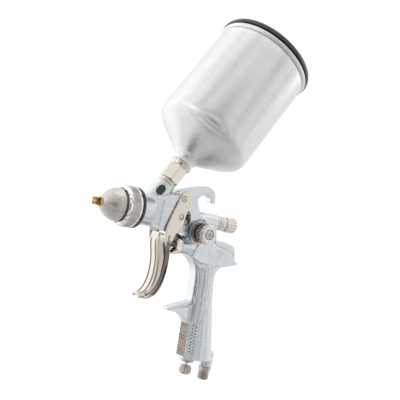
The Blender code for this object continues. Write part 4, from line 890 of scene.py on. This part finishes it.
def make_needle_line():
    nut = lathe("packing_gland", [
        (3.6, WINDOW_X0 - 5.7), (1.55, WINDOW_X0 - 5.7), (1.55, WINDOW_X0 + 3.0, 0.3), (4.4,
        WINDOW_X0 + 3.0, 0.4),
        (5.0, WINDOW_X0 + 2.5, 0.2), (5.0, WINDOW_X0 + 0.7, 0.2), (4.4, WINDOW_X0 + 0.4, 0.2),
        (3.6, WINDOW_X0 + 0.4)], (0, 0, 0), X_AXIS, "brass", 96, 0.15,
        hex_form(5.0, WINDOW_X0 + 0.3, WINDOW_X0 + 3.0))
    take(nut, "root", "brass", "packing_nut")
    bush = lathe("rear_bush", [
        (4.7, 67.8), (5.8, 67.8), (5.8, 81.3), (6.9, 81.3, 0.2), (6.9, 83.3, 0.3), (4.7, 83.3, 0.2)],
        (0, 0, 0), X_AXIS, "steel", 96)
    take(bush, "root", "stainless", "rear_bushing")
    x0 = 84.0
    knob = lathe("needle_knob", [
        (4.7, x0, 0.2), (6.1, x0, 0.3), (6.6, x0 + 0.6, 0.3), (6.6, x0 + 2.2, 0.1), (6.2, x0 + 2.5, 0.1),
        (6.2, x0 + 3.1, 0.1), (6.6, x0 + 3.4, 0.1), (6.6, x0 + 6.4, 0.3), (5.9, x0 + 7.2, 0.2), (6.3,
        x0 + 7.9, 0.2),
        (7.2, x0 + 8.6, 0.3), (7.5, x0 + 9.4, 0.0)] + [(7.5, x0 + h, 0.0) for h in np.linspace(10, 18.2,
        10)] + [
        (7.2, x0 + 19.4, 0.3), (6.2, x0 + 20.2, 0.4), (4.9, x0 + 20.6, 0.3), (0.8, x0 + 20.6, 0.2), (0.8,
        x0 + 19.6),
        (0.4, 89.0), (4.7, 88.7)], (0, 0, 0), X_AXIS, "turned_nickel", 256, 0.2,
        flutes(16, 0.75, x0 + 8.9, x0 + 19.2, 6.9))
    take(knob, "fluid_knob", "bright_nickel", "fluid_knob")


def make_air_valve():
    at = (0, 0, VALVE_Z)
    nut = lathe("valve_gland", [
        (6.2, 56.4), (6.2, 43.1), (9.0, 43.1, 0.2), (9.1, 42.2, 0.1), (9.9, 41.9, 0.2), (10.0, 41.4, 0.0),
        (10.05, 38.0, 0.0), (9.6, 37.0, 0.3), (8.3, 36.2, 0.3), (3.5, 36.2, 0.4), (3.1, 36.8), (3.1, 56.4)],
        at, X_AXIS, "nickel", 192, 0.2, hex_form(10.1, 36.2, 42.0))
    take(nut, "root", "bright_nickel", "air_valve_nut")


def make_fan_valve():
    face = 11.8
    at = FAN
    # The fan nut wears the darker nickel: painted dark reflection
    nut = lathe("fan_gland", [
        (2.4, face + 3.9), (6.4, face + 3.9, 0.4), (7.2, face + 3.3, 0.2), (7.3, face + 2.9, 0.1), (9.7,
        face + 2.7, 0.3),
        (10.3, face + 2.2, 0.2), (10.35, face + 1.0, 0.2), (9.7, face + 0.5, 0.1), (9.7, face, 0.2), (3.9,
        face),
        (3.9, -2), (2.4, -2)], at, -Y_AXIS, "painted_dark_nickel", 192, 0.2,
        hex_form(10.4, face + 0.55, face + 2.85, math.radians(12)))
    take(nut, "root", "bright_nickel", "fan_valve_nut")
    k0, k1 = face + 4.4, face + 13.9
    knob = lathe("pattern_knob", [
        (2.4, k0), (7.2, k0, 0.4), (8.0, k0 + 0.8, 0.2), (8.3, k0 + 1.0, 0.2), (9.2, k0 + 1.6, 0.3)]
        + [(9.2, k0 + h, 0.0) for h in np.linspace(2.2, 6.6, 7)]
        + [(9.2, k0 + 7.4, 0.3), (8.6, k0 + 8.0, 0.2), (8.5, k0 + 8.9, 0.3), (7.8, k1, 0.4), (5.2, k1, 0.3),
           (4.6, k1 - 0.4, 0.2), (4.6, k1 - 1.5), (2.4, k1 - 1.5)], at, -Y_AXIS, "turned_nickel", 240, 0.2,
        flutes(15, 1.0, k0 + 1.7, k0 + 7.3, 8.7))
    # The knob's half nearer the body wears the darker nickel: painted dark reflection
    knob.data.materials.append(LOOK["painted_dark_nickel"])
    for poly in knob.data.polygons:
        if poly.center.z < (k0 + 4.6) * MM:
            poly.material_index = 1
    take(knob, "fan_knob", "bright_nickel", "fan_knob")
    screw = lathe("pattern_screw", [
        (0, k1 + 0.1), (2.6, k1 + 0.08, 0.5), (3.8, k1 - 0.3, 0.4), (4.2, k1 - 0.8, 0.2), (4.2, k1 - 1.2),
        (0.7, k1 - 1.2),
        (0.7, k1 - 5.5), (0, k1 - 5.5)], at, -Y_AXIS, "steel", 96, 0.2)
    centre = (Vector((at[0], -k1 + 0.2, at[2])) - CROWN) * MM
    tools = []
    for wide, tall in ((5.4, 1.1), (1.1, 5.4)):
        bar = place("slot", outline_piece("slot", smooth_outline(
            [(-wide / 2, -tall / 2), (wide / 2, -tall / 2), (wide / 2, tall / 2), (-wide / 2, tall / 2)],
            60, 1),
            0.75, 0.0), (0, 0, 0), Z_AXIS, None)
        bar.matrix_world = Matrix.Translation(centre) @ Matrix.Rotation(math.radians(24), 4, "Y")
        tools.append(bar)
    drill(screw, tools, "EXACT")
    shade(screw.data, 32)
    take(screw, "fan_knob", "stainless", "fan_knob_screw")


def make_grip_fittings():
    at = (MICRO_X, 0, 0)
    face = 130.3
    collar = lathe("gauge_body", [
        (2.4, face + 3.3), (4.9, face + 3.3, 0.3), (6.1, face + 2.9, 0.3), (6.5, face + 2.3, 0.2), (6.5,
        face + 0.4, 0.2),
        (6.2, face, 0.2), (4.5, face), (4.5, face - 11), (2.4, face - 11)], at, -Z_AXIS, "fitting", 96)
    take(collar, "root", "dark_fitting", "micrometer_body")
    k0, k1 = 136.6, 145.0
    knob = lathe("gauge_knob", [
        (0, k1), (4.4, k1, 0.6), (5.4, k1 - 0.9, 0.3), (5.4, k1 - 1.6, 0.2)]
        + [(5.9, k1 - h, 0.0) for h in np.linspace(2.0, 6.4, 7)]
        + [(5.4, k0 + 1.6, 0.2), (5.3, k0 + 0.8, 0.3), (4.6, k0, 0.4), (2.4, k0, 0.2), (2.4, k1 - 1.6), (0,
        k1 - 1.6)],
        at, -Z_AXIS, "fitting", 208, 0.2, flutes(13, 0.5, k0 + 1.7, k1 - 1.7, 5.5))
    take(knob, "micrometer_knob", "dark_fitting", "micrometer_knob")
    at = (INLET_X, 0, 0)
    face = 137.3
    threads = []
    for i in range(7):
        h = face + 5.0 + i * 1.0
        threads += [(5.5, h, 0.0), (5.5, h + 0.25, 0.0), (5.05, h + 0.5, 0.0), (5.05, h + 0.7, 0.0)]
    inlet = lathe("inlet_nipple", [(3.0, face - 8.5), (5.3, face - 8.5), (5.3, face), (6.2, face, 0.2),
                                   (6.3, face + 0.4, 0.1), (6.3, face + 3.1, 0.1), (6.0, face + 3.5, 0.2),
                                   (5.1, face + 3.8, 0.1), (5.1, face + 4.6, 0.1)] + threads
                  + [(4.7, face + 12.4, 0.2), (3.0, face + 12.4, 0.3)], at, -Z_AXIS, "fitting", 128, 0.2,
                  hex_form(6.3, face + 0.3, face + 3.3))
    take(inlet, "root", "dark_fitting", "air_inlet")


# ---------------------------------------------------------------- trigger

PLATE = [(27.8, 20.2), (29.6, 22.6), (33.5, 23.4), (37.2, 22.6), (38.2, 18), (38.6, 10), (37.8, 6),
         (36.4, 2.0), (35.7, -3.4), (35.9, -7), (33.4, -10.6), (29.8, -15.2), (27.6, -20), (26.4, -26),
         (26.2, -31.5), (22.6, -30.4), (20.4, -26), (18.6, -21), (17.5, -13.7), (18.2, -9), (22.7, 5)]
BLADE = [
    (18.6, -17.0, 6.0, 5.5, 12.9), (17.7, -22.0, 6.0, 6.5, 12.9), (17.6, -26.0, 5.8, 7.8, 12.2),
    (18.6, -31.0, 5.6, 8.8, 10.6), (20.2, -36.5, 5.5, 9.2, 9.0), (21.3, -42.0, 5.5, 9.0, 8.0),
    (21.8, -48.0, 5.5, 8.8, 7.4), (21.9, -54.0, 5.5, 8.4, 7.2), (21.2, -60.0, 5.5, 8.0, 7.0),
    (19.6, -65.5, 5.5, 7.4, 6.8), (17.2, -70.0, 5.4, 6.4, 6.4), (14.4, -73.0, 5.0, 4.4, 5.8),
    (11.4, -74.5, 4.2, 2.4, 4.8), (8.8, -75.0, 3.0, 1.4, 3.4),
]


def blade_rows():
    """A fine grid over the blade's front and flanges."""
    stations = np.array(BLADE)
    fine = []
    padded = np.vstack([2 * stations[0] - stations[1], stations, 2 * stations[-1] - stations[-2]])
    for i in range(1, len(padded) - 2):
        for k in range(5):
            t = k / 5
            a, b, c, d = padded[i - 1:i + 3]
            fine.append(0.5 * (2 * b + (c - a) * t + (2 * a - 5 * b + 4 * c - d) * t * t
                               + (3 * b - a - 3 * c + d) * t ** 3))
    fine.append(stations[-1])
    rows = []
    for i, (x, z, half, reach, flare) in enumerate(fine):
        before, after = fine[max(i - 1, 0)][:2], fine[min(i + 1, len(fine) - 1)][:2]
        run = (after - before) / np.linalg.norm(after - before)
        back = np.array((-run[1], run[0]))
        if back[0] < 0 and abs(back[0]) > abs(back[1]):
            back = -back
        side = [(-flare, 1.0), (-(half + flare) / 2 - 0.4, 0.55), (-half, 0.12), (-half * 0.82, 0.0),
                (-half * 0.4, -0.0), (0, 0.0)]
        curve = [(y, d) for y, d, _ in spline(side, 4)]
        curve += [(-y, d) for y, d in reversed(curve[:-1])]
        rows.append([(x + back[0] * reach * max(d, 0), y, z + back[1] * reach * max(d, 0)) for y,
                d in curve])
    return rows


def paint_flange_reflections(mesh):
    """Painted dark reflections on the blade's flanges and on the two bends beside its front, kept as marks
    for the material.
    """
    count = len(mesh.vertices)
    co = np.empty(count * 3, np.float32)
    mesh.vertices.foreach_get("co", co)
    x, y, z = (co.reshape(-1, 3) / MM + np.array(CROWN)).T
    stations = np.array(BLADE)
    order = np.argsort(stations[:, 1])
    front = np.interp(z, stations[order, 1], stations[order, 0])
    back = x - front
    bend = np.clip(1 - np.abs(np.abs(y) - 4.0 - back * 0.25) / 2.1, 0, 1) * (back < 4.0)
    flange = np.clip((back - 2.2) / 1.6, 0, 1) * 0.76
    fade = np.clip((-20 - z) / 5, 0, 1) * np.clip((z + 76) / 4, 0, 1)
    marks = mesh.attributes.new("painted_dark", "FLOAT", "POINT")
    marks.data.foreach_set("value", (np.maximum(bend * 1.0, flange) * fade).astype(np.float32))


def make_trigger():
    rows = blade_rows()
    shape = bmesh.new()
    verts = [[shape.verts.new(Vector(p) * MM) for p in row] for row in rows]
    for upper, lower in zip(verts, verts[1:]):
        for i in range(len(upper) - 1):
            shape.faces.new((upper[i], lower[i], lower[i + 1], upper[i + 1]))
    mesh = bpy.data.meshes.new("blade")
    shape.to_mesh(mesh)
    shape.free()
    blade = place("blade", mesh, (0, 0, 0), Z_AXIS, None)
    shell = blade.modifiers.new("thickness", "SOLIDIFY")
    shell.thickness = 1.8 * MM
    shell.offset = -1.0
    shell.use_even_offset = True
    bake(blade)
    pieces = [blade]
    for side in (-1, 1):
        pieces.append(flat("plate", smooth_outline(PLATE, 60), PLATE_T / 2, 0.45,
                           (0, side * (PLATE_Y + PLATE_T / 2), 0)))
    trigger = joined("trigger_lever", pieces, 0.3, 6)
    drill(trigger, [tool_rod(2.9, -20, 20, PIVOT, Y_AXIS), tool_rod(2.9, -20, 20, (BAR_X, 0, 0), Y_AXIS)])
    shade(trigger.data, 50)
    # Painted dark reflections on the flanges and bends
    paint_flange_reflections(trigger.data)
    trigger.data.materials.clear()
    trigger.data.materials.append(LOOK["lever"])
    take(trigger, "trigger", "bright_nickel", "trigger")
    end = PLATE_Y + PLATE_T
    bar = lathe("cross_bar", [
        (0, end + 0.0), (1.6, end, 0.3), (2.6, end - 0.4, 0.3), (2.6, 11.3), (4.5, 11.3, 0.2), (4.5, -11.3,
        0.2),
        (2.6, -11.3), (2.6, -end + 0.4, 0.3), (1.6, -end, 0.3), (0, -end)], (BAR_X, 0, 0), Y_AXIS, "steel",
        96)
    slot = flat("bar_slot", [(-8, -3.4), (8, -3.4), (8, 3.0), (-8, 3.0)], 1.8, 0.0, (BAR_X, 0, 0))
    drill(bar, [slot], "EXACT")
    shade(bar.data, 38)
    take(bar, "trigger", "stainless", "trigger_crossbar")
    pin = lathe("pivot_pin", [
        (0, end + 0.2 - 6), (1.3, end + 0.2 - 6), (1.3, end + 0.2, 0.1), (2.6, end + 0.2, 0.2), (2.6,
        -end + 0.1, 0.2),
        (2.1, -end - 0.4, 0.2), (0.9, -end - 0.4, 0.2), (0.6, -end + 0.2, 0.1), (0, -end + 0.2)], PIVOT,
        Y_AXIS, "steel", 96)
    take(pin, "root", "stainless", "trigger_pivot")
    screw = lathe("pivot_screw", [
        (0, end + 2.2), (2.4, end + 2.2, 0.6), (3.9, end + 1.6, 0.5), (4.3, end + 1.1, 0.2), (4.3,
        end + 0.5, 0.2),
        (1.0, end + 0.5), (1.0, end - 4.6), (0, end - 4.6)], PIVOT, Y_AXIS, "steel", 96)
    slot = flat("screw_slot", [(-6, -0.5), (6, -0.5), (6, 0.5), (-6, 0.5)], 1.25, 0.0, (PIVOT[0],
            end + 2.75, PIVOT[2]))
    drill(screw, [slot], "EXACT")
    shade(screw.data, 38)
    take(screw, "root", "stainless", "trigger_screw")


# ---------------------------------------------------------------- cup

def make_cup_fittings():
    nipple = lathe("cup_stub", [
        (3.0, 45.3), (4.6, 45.3, 0.3), (4.6, 33.8), (8.1, 33.8, 0.4), (8.7, 33.2, 0.2), (8.7, 32.4, 0.1),
        (8.3, 32.1, 0.1),
        (8.3, 31.7, 0.1), (8.7, 31.4, 0.1), (8.75, 30.3, 0.3), (5.6, 30.3), (5.6, 14), (3.0, 14)],
        (0, 0, 0), CUP_AXIS, "turned_nickel", 128)
    take(nipple, "root", "bright_nickel", "cup_nipple")
    low, top = 34.1, 54.1
    nut = lathe("coupling_nut", [
        (8.1, top, 0.2), (10.1, top, 0.3), (10.6, top - 0.5, 0.3), (10.5, top - 1.2, 0.4), (9.8, top - 2.6,
        1.0),
        (9.0, top - 4.2, 0.6), (9.1, top - 5.0, 0.1), (9.65, top - 5.4, 0.2), (9.65, low + 1.2, 0.3), (9.0,
        low + 0.4, 0.3),
        (8.2, low, 0.3), (4.9, low), (4.9, low + 11.2), (8.1, low + 11.2)], (0, 0, 0), CUP_AXIS, "nickel",
        192, 0.2,
        hex_form(9.7, low + 0.3, top - 4.9, math.radians(5)))
    take(nut, "cup_nut", "bright_nickel", "cup_nut")


def make_cup():
    cone0, rise, r = 61.0, 27.0, 46.0
    rim = 183.6
    outer = [(7.8, 45.7), (7.8, 54.4), (10.1, 54.4, 0.3), (10.2, 58.0, 0.4)]
    outer += spline([(10.3, 58.6), (11.5, cone0), (14.5, cone0 + 3.0), (r * 0.60, cone0 + rise * 0.43),
                     (r * 0.835, cone0 + rise * 0.70), (r * 0.92, cone0 + rise * 0.82),
                     (r * 0.972, cone0 + rise * 0.93), (r * 0.993, cone0 + rise + 1), (r,
                     cone0 + rise + 4)], 8)
    outer += [(r, h, 0.0) for h in np.linspace(cone0 + rise + 8, rim, 24)]
    outer += [(r - 0.7, rim + 0.2, 0.1), (r - 0.7, rim + 1.2, 0.1)]
    outer += spline([(r + 0.5, rim + 1.35), (r + 1.3, rim + 2.0), (r + 1.7, rim + 3.1), (r + 1.7,
            rim + 4.2),
                     (r + 1.2, rim + 5.3), (r + 0.4, rim + 5.9)], 4)
    outer += [(r - 1.4, rim + 5.9, 0.4)]
    inner = r - 1.4
    outer += [(inner, h, 0.0) for h in np.linspace(rim, cone0 + rise + 8, 10)]
    outer += spline([(inner, cone0 + rise + 4.3), (inner * 0.985, cone0 + rise + 1), (inner * 0.955,
            cone0 + rise - 0.6),
                     (inner * 0.90, cone0 + rise * 0.90), (inner * 0.80, cone0 + rise * 0.74),
                     (inner * 0.59, cone0 + rise * 0.50), (11.5, cone0 + 2.4), (6.0, cone0 - 1.5), (5.0,
                     cone0 - 4)], 5)
    outer += [(5.0, 45.7)]
    cup = lathe("spun_cup", outer, (0, 0, 0), CUP_AXIS, "cup", 224, 0.2)
    take(cup, "cup", "cup_aluminium", "cup")
    seat = rim + 6.2
    top = seat + 5.4
    skirt = 46.0 - 1.4 - 1.3
    R = 48.4
    lid = lathe("cup_lid", [(0, top - 1.6), (20, top - 1.6, 0.3), (20.6, top - 1.35, 0.2),
            (21.6, top - 1.35, 0.2),
                            (22.2, top - 1.6, 0.3), (R - 10, top - 1.6, 0.5), (R - 8, top - 0.2, 0.6),
                            (R - 3, top, 0.8),
                            (R - 1.4, top - 0.6, 0.6), (R - 0.5, top - 2.2, 0.5), (R - 0.35, top - 2.7,
                            0.1),
                            (R - 0.75, top - 2.85, 0.1), (R - 0.75, top - 3.15, 0.1), (R - 0.2, top - 3.3,
                            0.1),
                            (R, top - 4.2, 0.3), (R - 0.2, seat, 0.3), (skirt, seat), (skirt, seat - 8.6,
                            0.3),
                            (skirt - 1.8, seat - 8.6, 0.3), (skirt - 2.2, top - 3.6, 0.5), (0, top - 3.6)],
                (0, 0, 0), CUP_AXIS, "black", 224, 0.3)
    side = Y_AXIS.cross(CUP_AXIS).normalized()
    vent_at = side * 20
    drill(lid, [tool_rod(1.5, top - 6, top + 2, vent_at, CUP_AXIS, 32)], "EXACT")
    shade(lid.data)
    take(lid, "lid", "black_plastic", "lid")
    low = top - 1.3
    vent = lathe("vent_plug", [(0, low + 3.4), (3.6, low + 3.4, 0.5), (4.2, low + 3.1, 0.3),
            (5.6, low + 2.6, 0.4),
                               (6.0, low + 1.6, 0.3), (6.0, low, 0.2), (1.2, low), (1.2, low - 2.2), (0,
                               low - 2.2)],
                 vent_at, CUP_AXIS, "rubber", 96)
    take(vent, "lid", "rubber", "vent_cap")


# ---------------------------------------------------------------- carried-over nodes

KEPT = {
    "air_valve_poppet": "brass", "air_valve_seat": "brass", "air_valve_stem": "steel",
    "cup_filter": "ptfe", "fan_stem": "steel", "fluid_needle": "steel", "lid_gasket": "rubber",
    "micrometer_stem": "steel", "needle_packing": "ptfe", "needle_stop": "steel",
}
SPRINGS = (("needle_spring", "needle_slide", 0.004), ("air_valve_spring", "air_valve_slide", 0.0103))


def make_springs():
    """The two springs, copied from the imported ones; in the gun they shorten by their rod's travel as the
    trigger is pulled.
    """
    for name, joint, travel in SPRINGS:
        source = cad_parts[name]
        mesh = source.data.copy()
        mesh.transform(source.matrix_world)
        mesh.materials.clear()
        mesh.materials.append(LOOK["spring"])
        shade(mesh, 50)
        coil = bpy.data.objects.new(name + "_coil", mesh)
        bpy.context.scene.collection.objects.link(coil)
        take(coil, "root", "spring_steel", name)
        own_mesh(coil)


def dress_kept():
    for name, look in KEPT.items():
        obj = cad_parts[name]
        if not obj.material_slots:
            obj.data.materials.append(LOOK[look])
        for slot in obj.material_slots:
            slot.link = "OBJECT"
            slot.material = LOOK[look]


# ---------------------------------------------------------------- stage

CAMERA_RIGHT = Vector((0.76524, -0.61106, 0.20253))
CAMERA_UP = Vector((-0.15715, 0.12777, 0.97928))
CAMERA_BACK = Vector((-0.62427, -0.78121, 0.00175))
CAMERA_AT = Vector((-0.4516, -0.5631, -0.0039))


def make_camera():
    data = bpy.data.cameras.new("camera")
    data.lens = 70.29
    data.sensor_width = 36
    data.clip_start = 0.01
    camera = bpy.data.objects.new("camera", data)
    bpy.context.scene.collection.objects.link(camera)
    basis = Matrix((CAMERA_RIGHT, CAMERA_UP, CAMERA_BACK)).transposed().to_4x4()
    camera.matrix_world = Matrix.Translation(CAMERA_AT) @ basis
    bpy.context.scene.camera = camera


def soft_light(name, at, aim, size, power, tall=None):
    data = bpy.data.lights.new(name, "AREA")
    data.shape = "RECTANGLE"
    data.size = size
    data.size_y = tall or size
    data.energy = power
    light = bpy.data.objects.new(name, data)
    bpy.context.scene.collection.objects.link(light)
    light.location = at
    light.rotation_euler = (Vector(aim) - Vector(at)).to_track_quat("-Z", "Y").to_euler()
    light.visible_camera = False


TENT = [(0.0, 1.0), (0.28, 1.0), (0.42, 1.0), (0.485, 1.0), (0.494, 0.06), (0.512, 0.06), (0.522, 1.0),
        (0.60, 1.0), (0.695, 0.98), (0.708, 0.05), (0.732, 0.05), (0.745, 0.96), (0.84, 0.92), (0.862,
        0.08),
        (0.88, 0.08), (0.893, 0.86), (0.955, 0.74), (0.985, 0.30)]


def make_studio():
    """A pale room, and a light tent with dark gaps that only reflections and soft light see."""
    world = bpy.data.worlds.new("studio")
    bpy.context.scene.world = world
    world.use_nodes = True
    background = world.node_tree.nodes["Background"]
    background.inputs["Color"].default_value = (1.0, 1.0, 1.0, 1)
    background.inputs["Strength"].default_value = 1.0
    mesh = bpy.data.meshes.new("tent")
    shape = bmesh.new()
    bmesh.ops.create_uvsphere(shape, u_segments=48, v_segments=24, radius=3.0)
    bmesh.ops.reverse_faces(shape, faces=shape.faces)
    shape.to_mesh(mesh)
    shape.free()
    mesh.shade_smooth()
    tent = bpy.data.objects.new("tent", mesh)
    bpy.context.scene.collection.objects.link(tent)
    tent.visible_camera = False
    material = bpy.data.materials.new("tent")
    material.use_nodes = True
    tree = material.node_tree
    tree.nodes.clear()
    out = tree.nodes.new("ShaderNodeOutputMaterial")
    glow = tree.nodes.new("ShaderNodeEmission")
    tree.links.new(glow.outputs[0], out.inputs["Surface"])
    where = tree.nodes.new("ShaderNodeTexCoord")
    unit = tree.nodes.new("ShaderNodeVectorMath")
    unit.operation = "NORMALIZE"
    tree.links.new(where.outputs["Object"], unit.inputs[0])

    def dot(vector):
        node = tree.nodes.new("ShaderNodeVectorMath")
        node.operation = "DOT_PRODUCT"
        node.inputs[1].default_value = vector
        tree.links.new(unit.outputs[0], node.inputs[0])
        return node.outputs["Value"]

    def spread(value, low, high, out_low, out_high):
        node = tree.nodes.new("ShaderNodeMapRange")
        node.inputs["From Min"].default_value = low
        node.inputs["From Max"].default_value = high
        node.inputs["To Min"].default_value = out_low
        node.inputs["To Max"].default_value = out_high
        tree.links.new(value, node.inputs["Value"])
        return node.outputs[0]

    def times(a, b):
        node = tree.nodes.new("ShaderNodeMath")
        node.operation = "MULTIPLY"
        tree.links.new(a, node.inputs[0])
        tree.links.new(b, node.inputs[1])
        return node.outputs[0]

    front = Vector((CAMERA_BACK.x, CAMERA_BACK.y, 0)).normalized()
    right = Vector((CAMERA_RIGHT.x, CAMERA_RIGHT.y, 0)).normalized()
    ramp = tree.nodes.new("ShaderNodeValToRGB")
    tree.links.new(spread(dot(front), -1.0, 1.0, 0.0, 1.0), ramp.inputs[0])
    elements = ramp.color_ramp.elements
    elements[0].position, elements[1].position = TENT[0][0], TENT[-1][0]
    elements[0].color = (TENT[0][1],) * 3 + (1,)
    elements[1].color = (TENT[-1][1],) * 3 + (1,)
    for position, value in TENT[1:-1]:
        elements.new(position).color = (value, value, value, 1)
    tone = times(ramp.outputs[0], spread(dot(right), -0.8, -0.35, 1.4, 1.0))
    tone = times(tone, spread(dot(Z_AXIS), 0.1, 0.8, 0.94, 1.04))
    tone = times(tone, spread(dot(Z_AXIS), -0.9, -0.2, 0.8, 1.05))
    tree.links.new(tone, glow.inputs["Strength"])
    mesh.materials.append(material)


def make_floor():
    mesh = bpy.data.meshes.new("floor")
    shape = bmesh.new()
    bmesh.ops.create_circle(shape, cap_ends=True, segments=96, radius=6.0)
    shape.to_mesh(mesh)
    shape.free()
    floor = bpy.data.objects.new("floor", mesh)
    bpy.context.scene.collection.objects.link(floor)
    floor.location = (0, 0, -0.33)
    n = Nodes("pale_floor")
    place_at = n.add("ShaderNodeTexCoord").outputs["Object"]
    tone = n.noise(place_at, 3.0, 3.0, 0.5)
    n.link(n.blend(tone, (0.93, 0.93, 0.93), (0.96, 0.96, 0.96)), n.shader.inputs["Base Color"])
    n.shader.inputs["Roughness"].default_value = 0.9
    n.shader.inputs["Emission Color"].default_value = (1, 1, 1, 1)
    n.shader.inputs["Emission Strength"].default_value = 0.22
    mesh.materials.append(n.material)
    floor.visible_glossy = False


make_body()
make_inlay()
make_nozzle()
make_needle_line()
make_air_valve()
make_fan_valve()
make_grip_fittings()
make_trigger()
make_cup_fittings()
make_cup()
make_springs()
dress_kept()
make_camera()
make_studio()
make_floor()
key_at = CAMERA_BACK * 0.9 - CAMERA_RIGHT * 0.9 + Z_AXIS * 0.7
soft_light("key", key_at, (0, 0, 0), 0.5, 0.8, 0.9)
soft_light("top", (0.0, 0.0, 1.3), (0, 0, 0), 1.0, 1.4)
rim_at = -CAMERA_BACK * 0.5 + CAMERA_RIGHT * 1.1 + Z_AXIS * 0.3
soft_light("side", rim_at, (0, 0, 0), 0.5, 1.0, 1.0)
bpy.context.scene.view_settings.view_transform = "Standard"
bpy.context.scene.view_settings.look = "None"
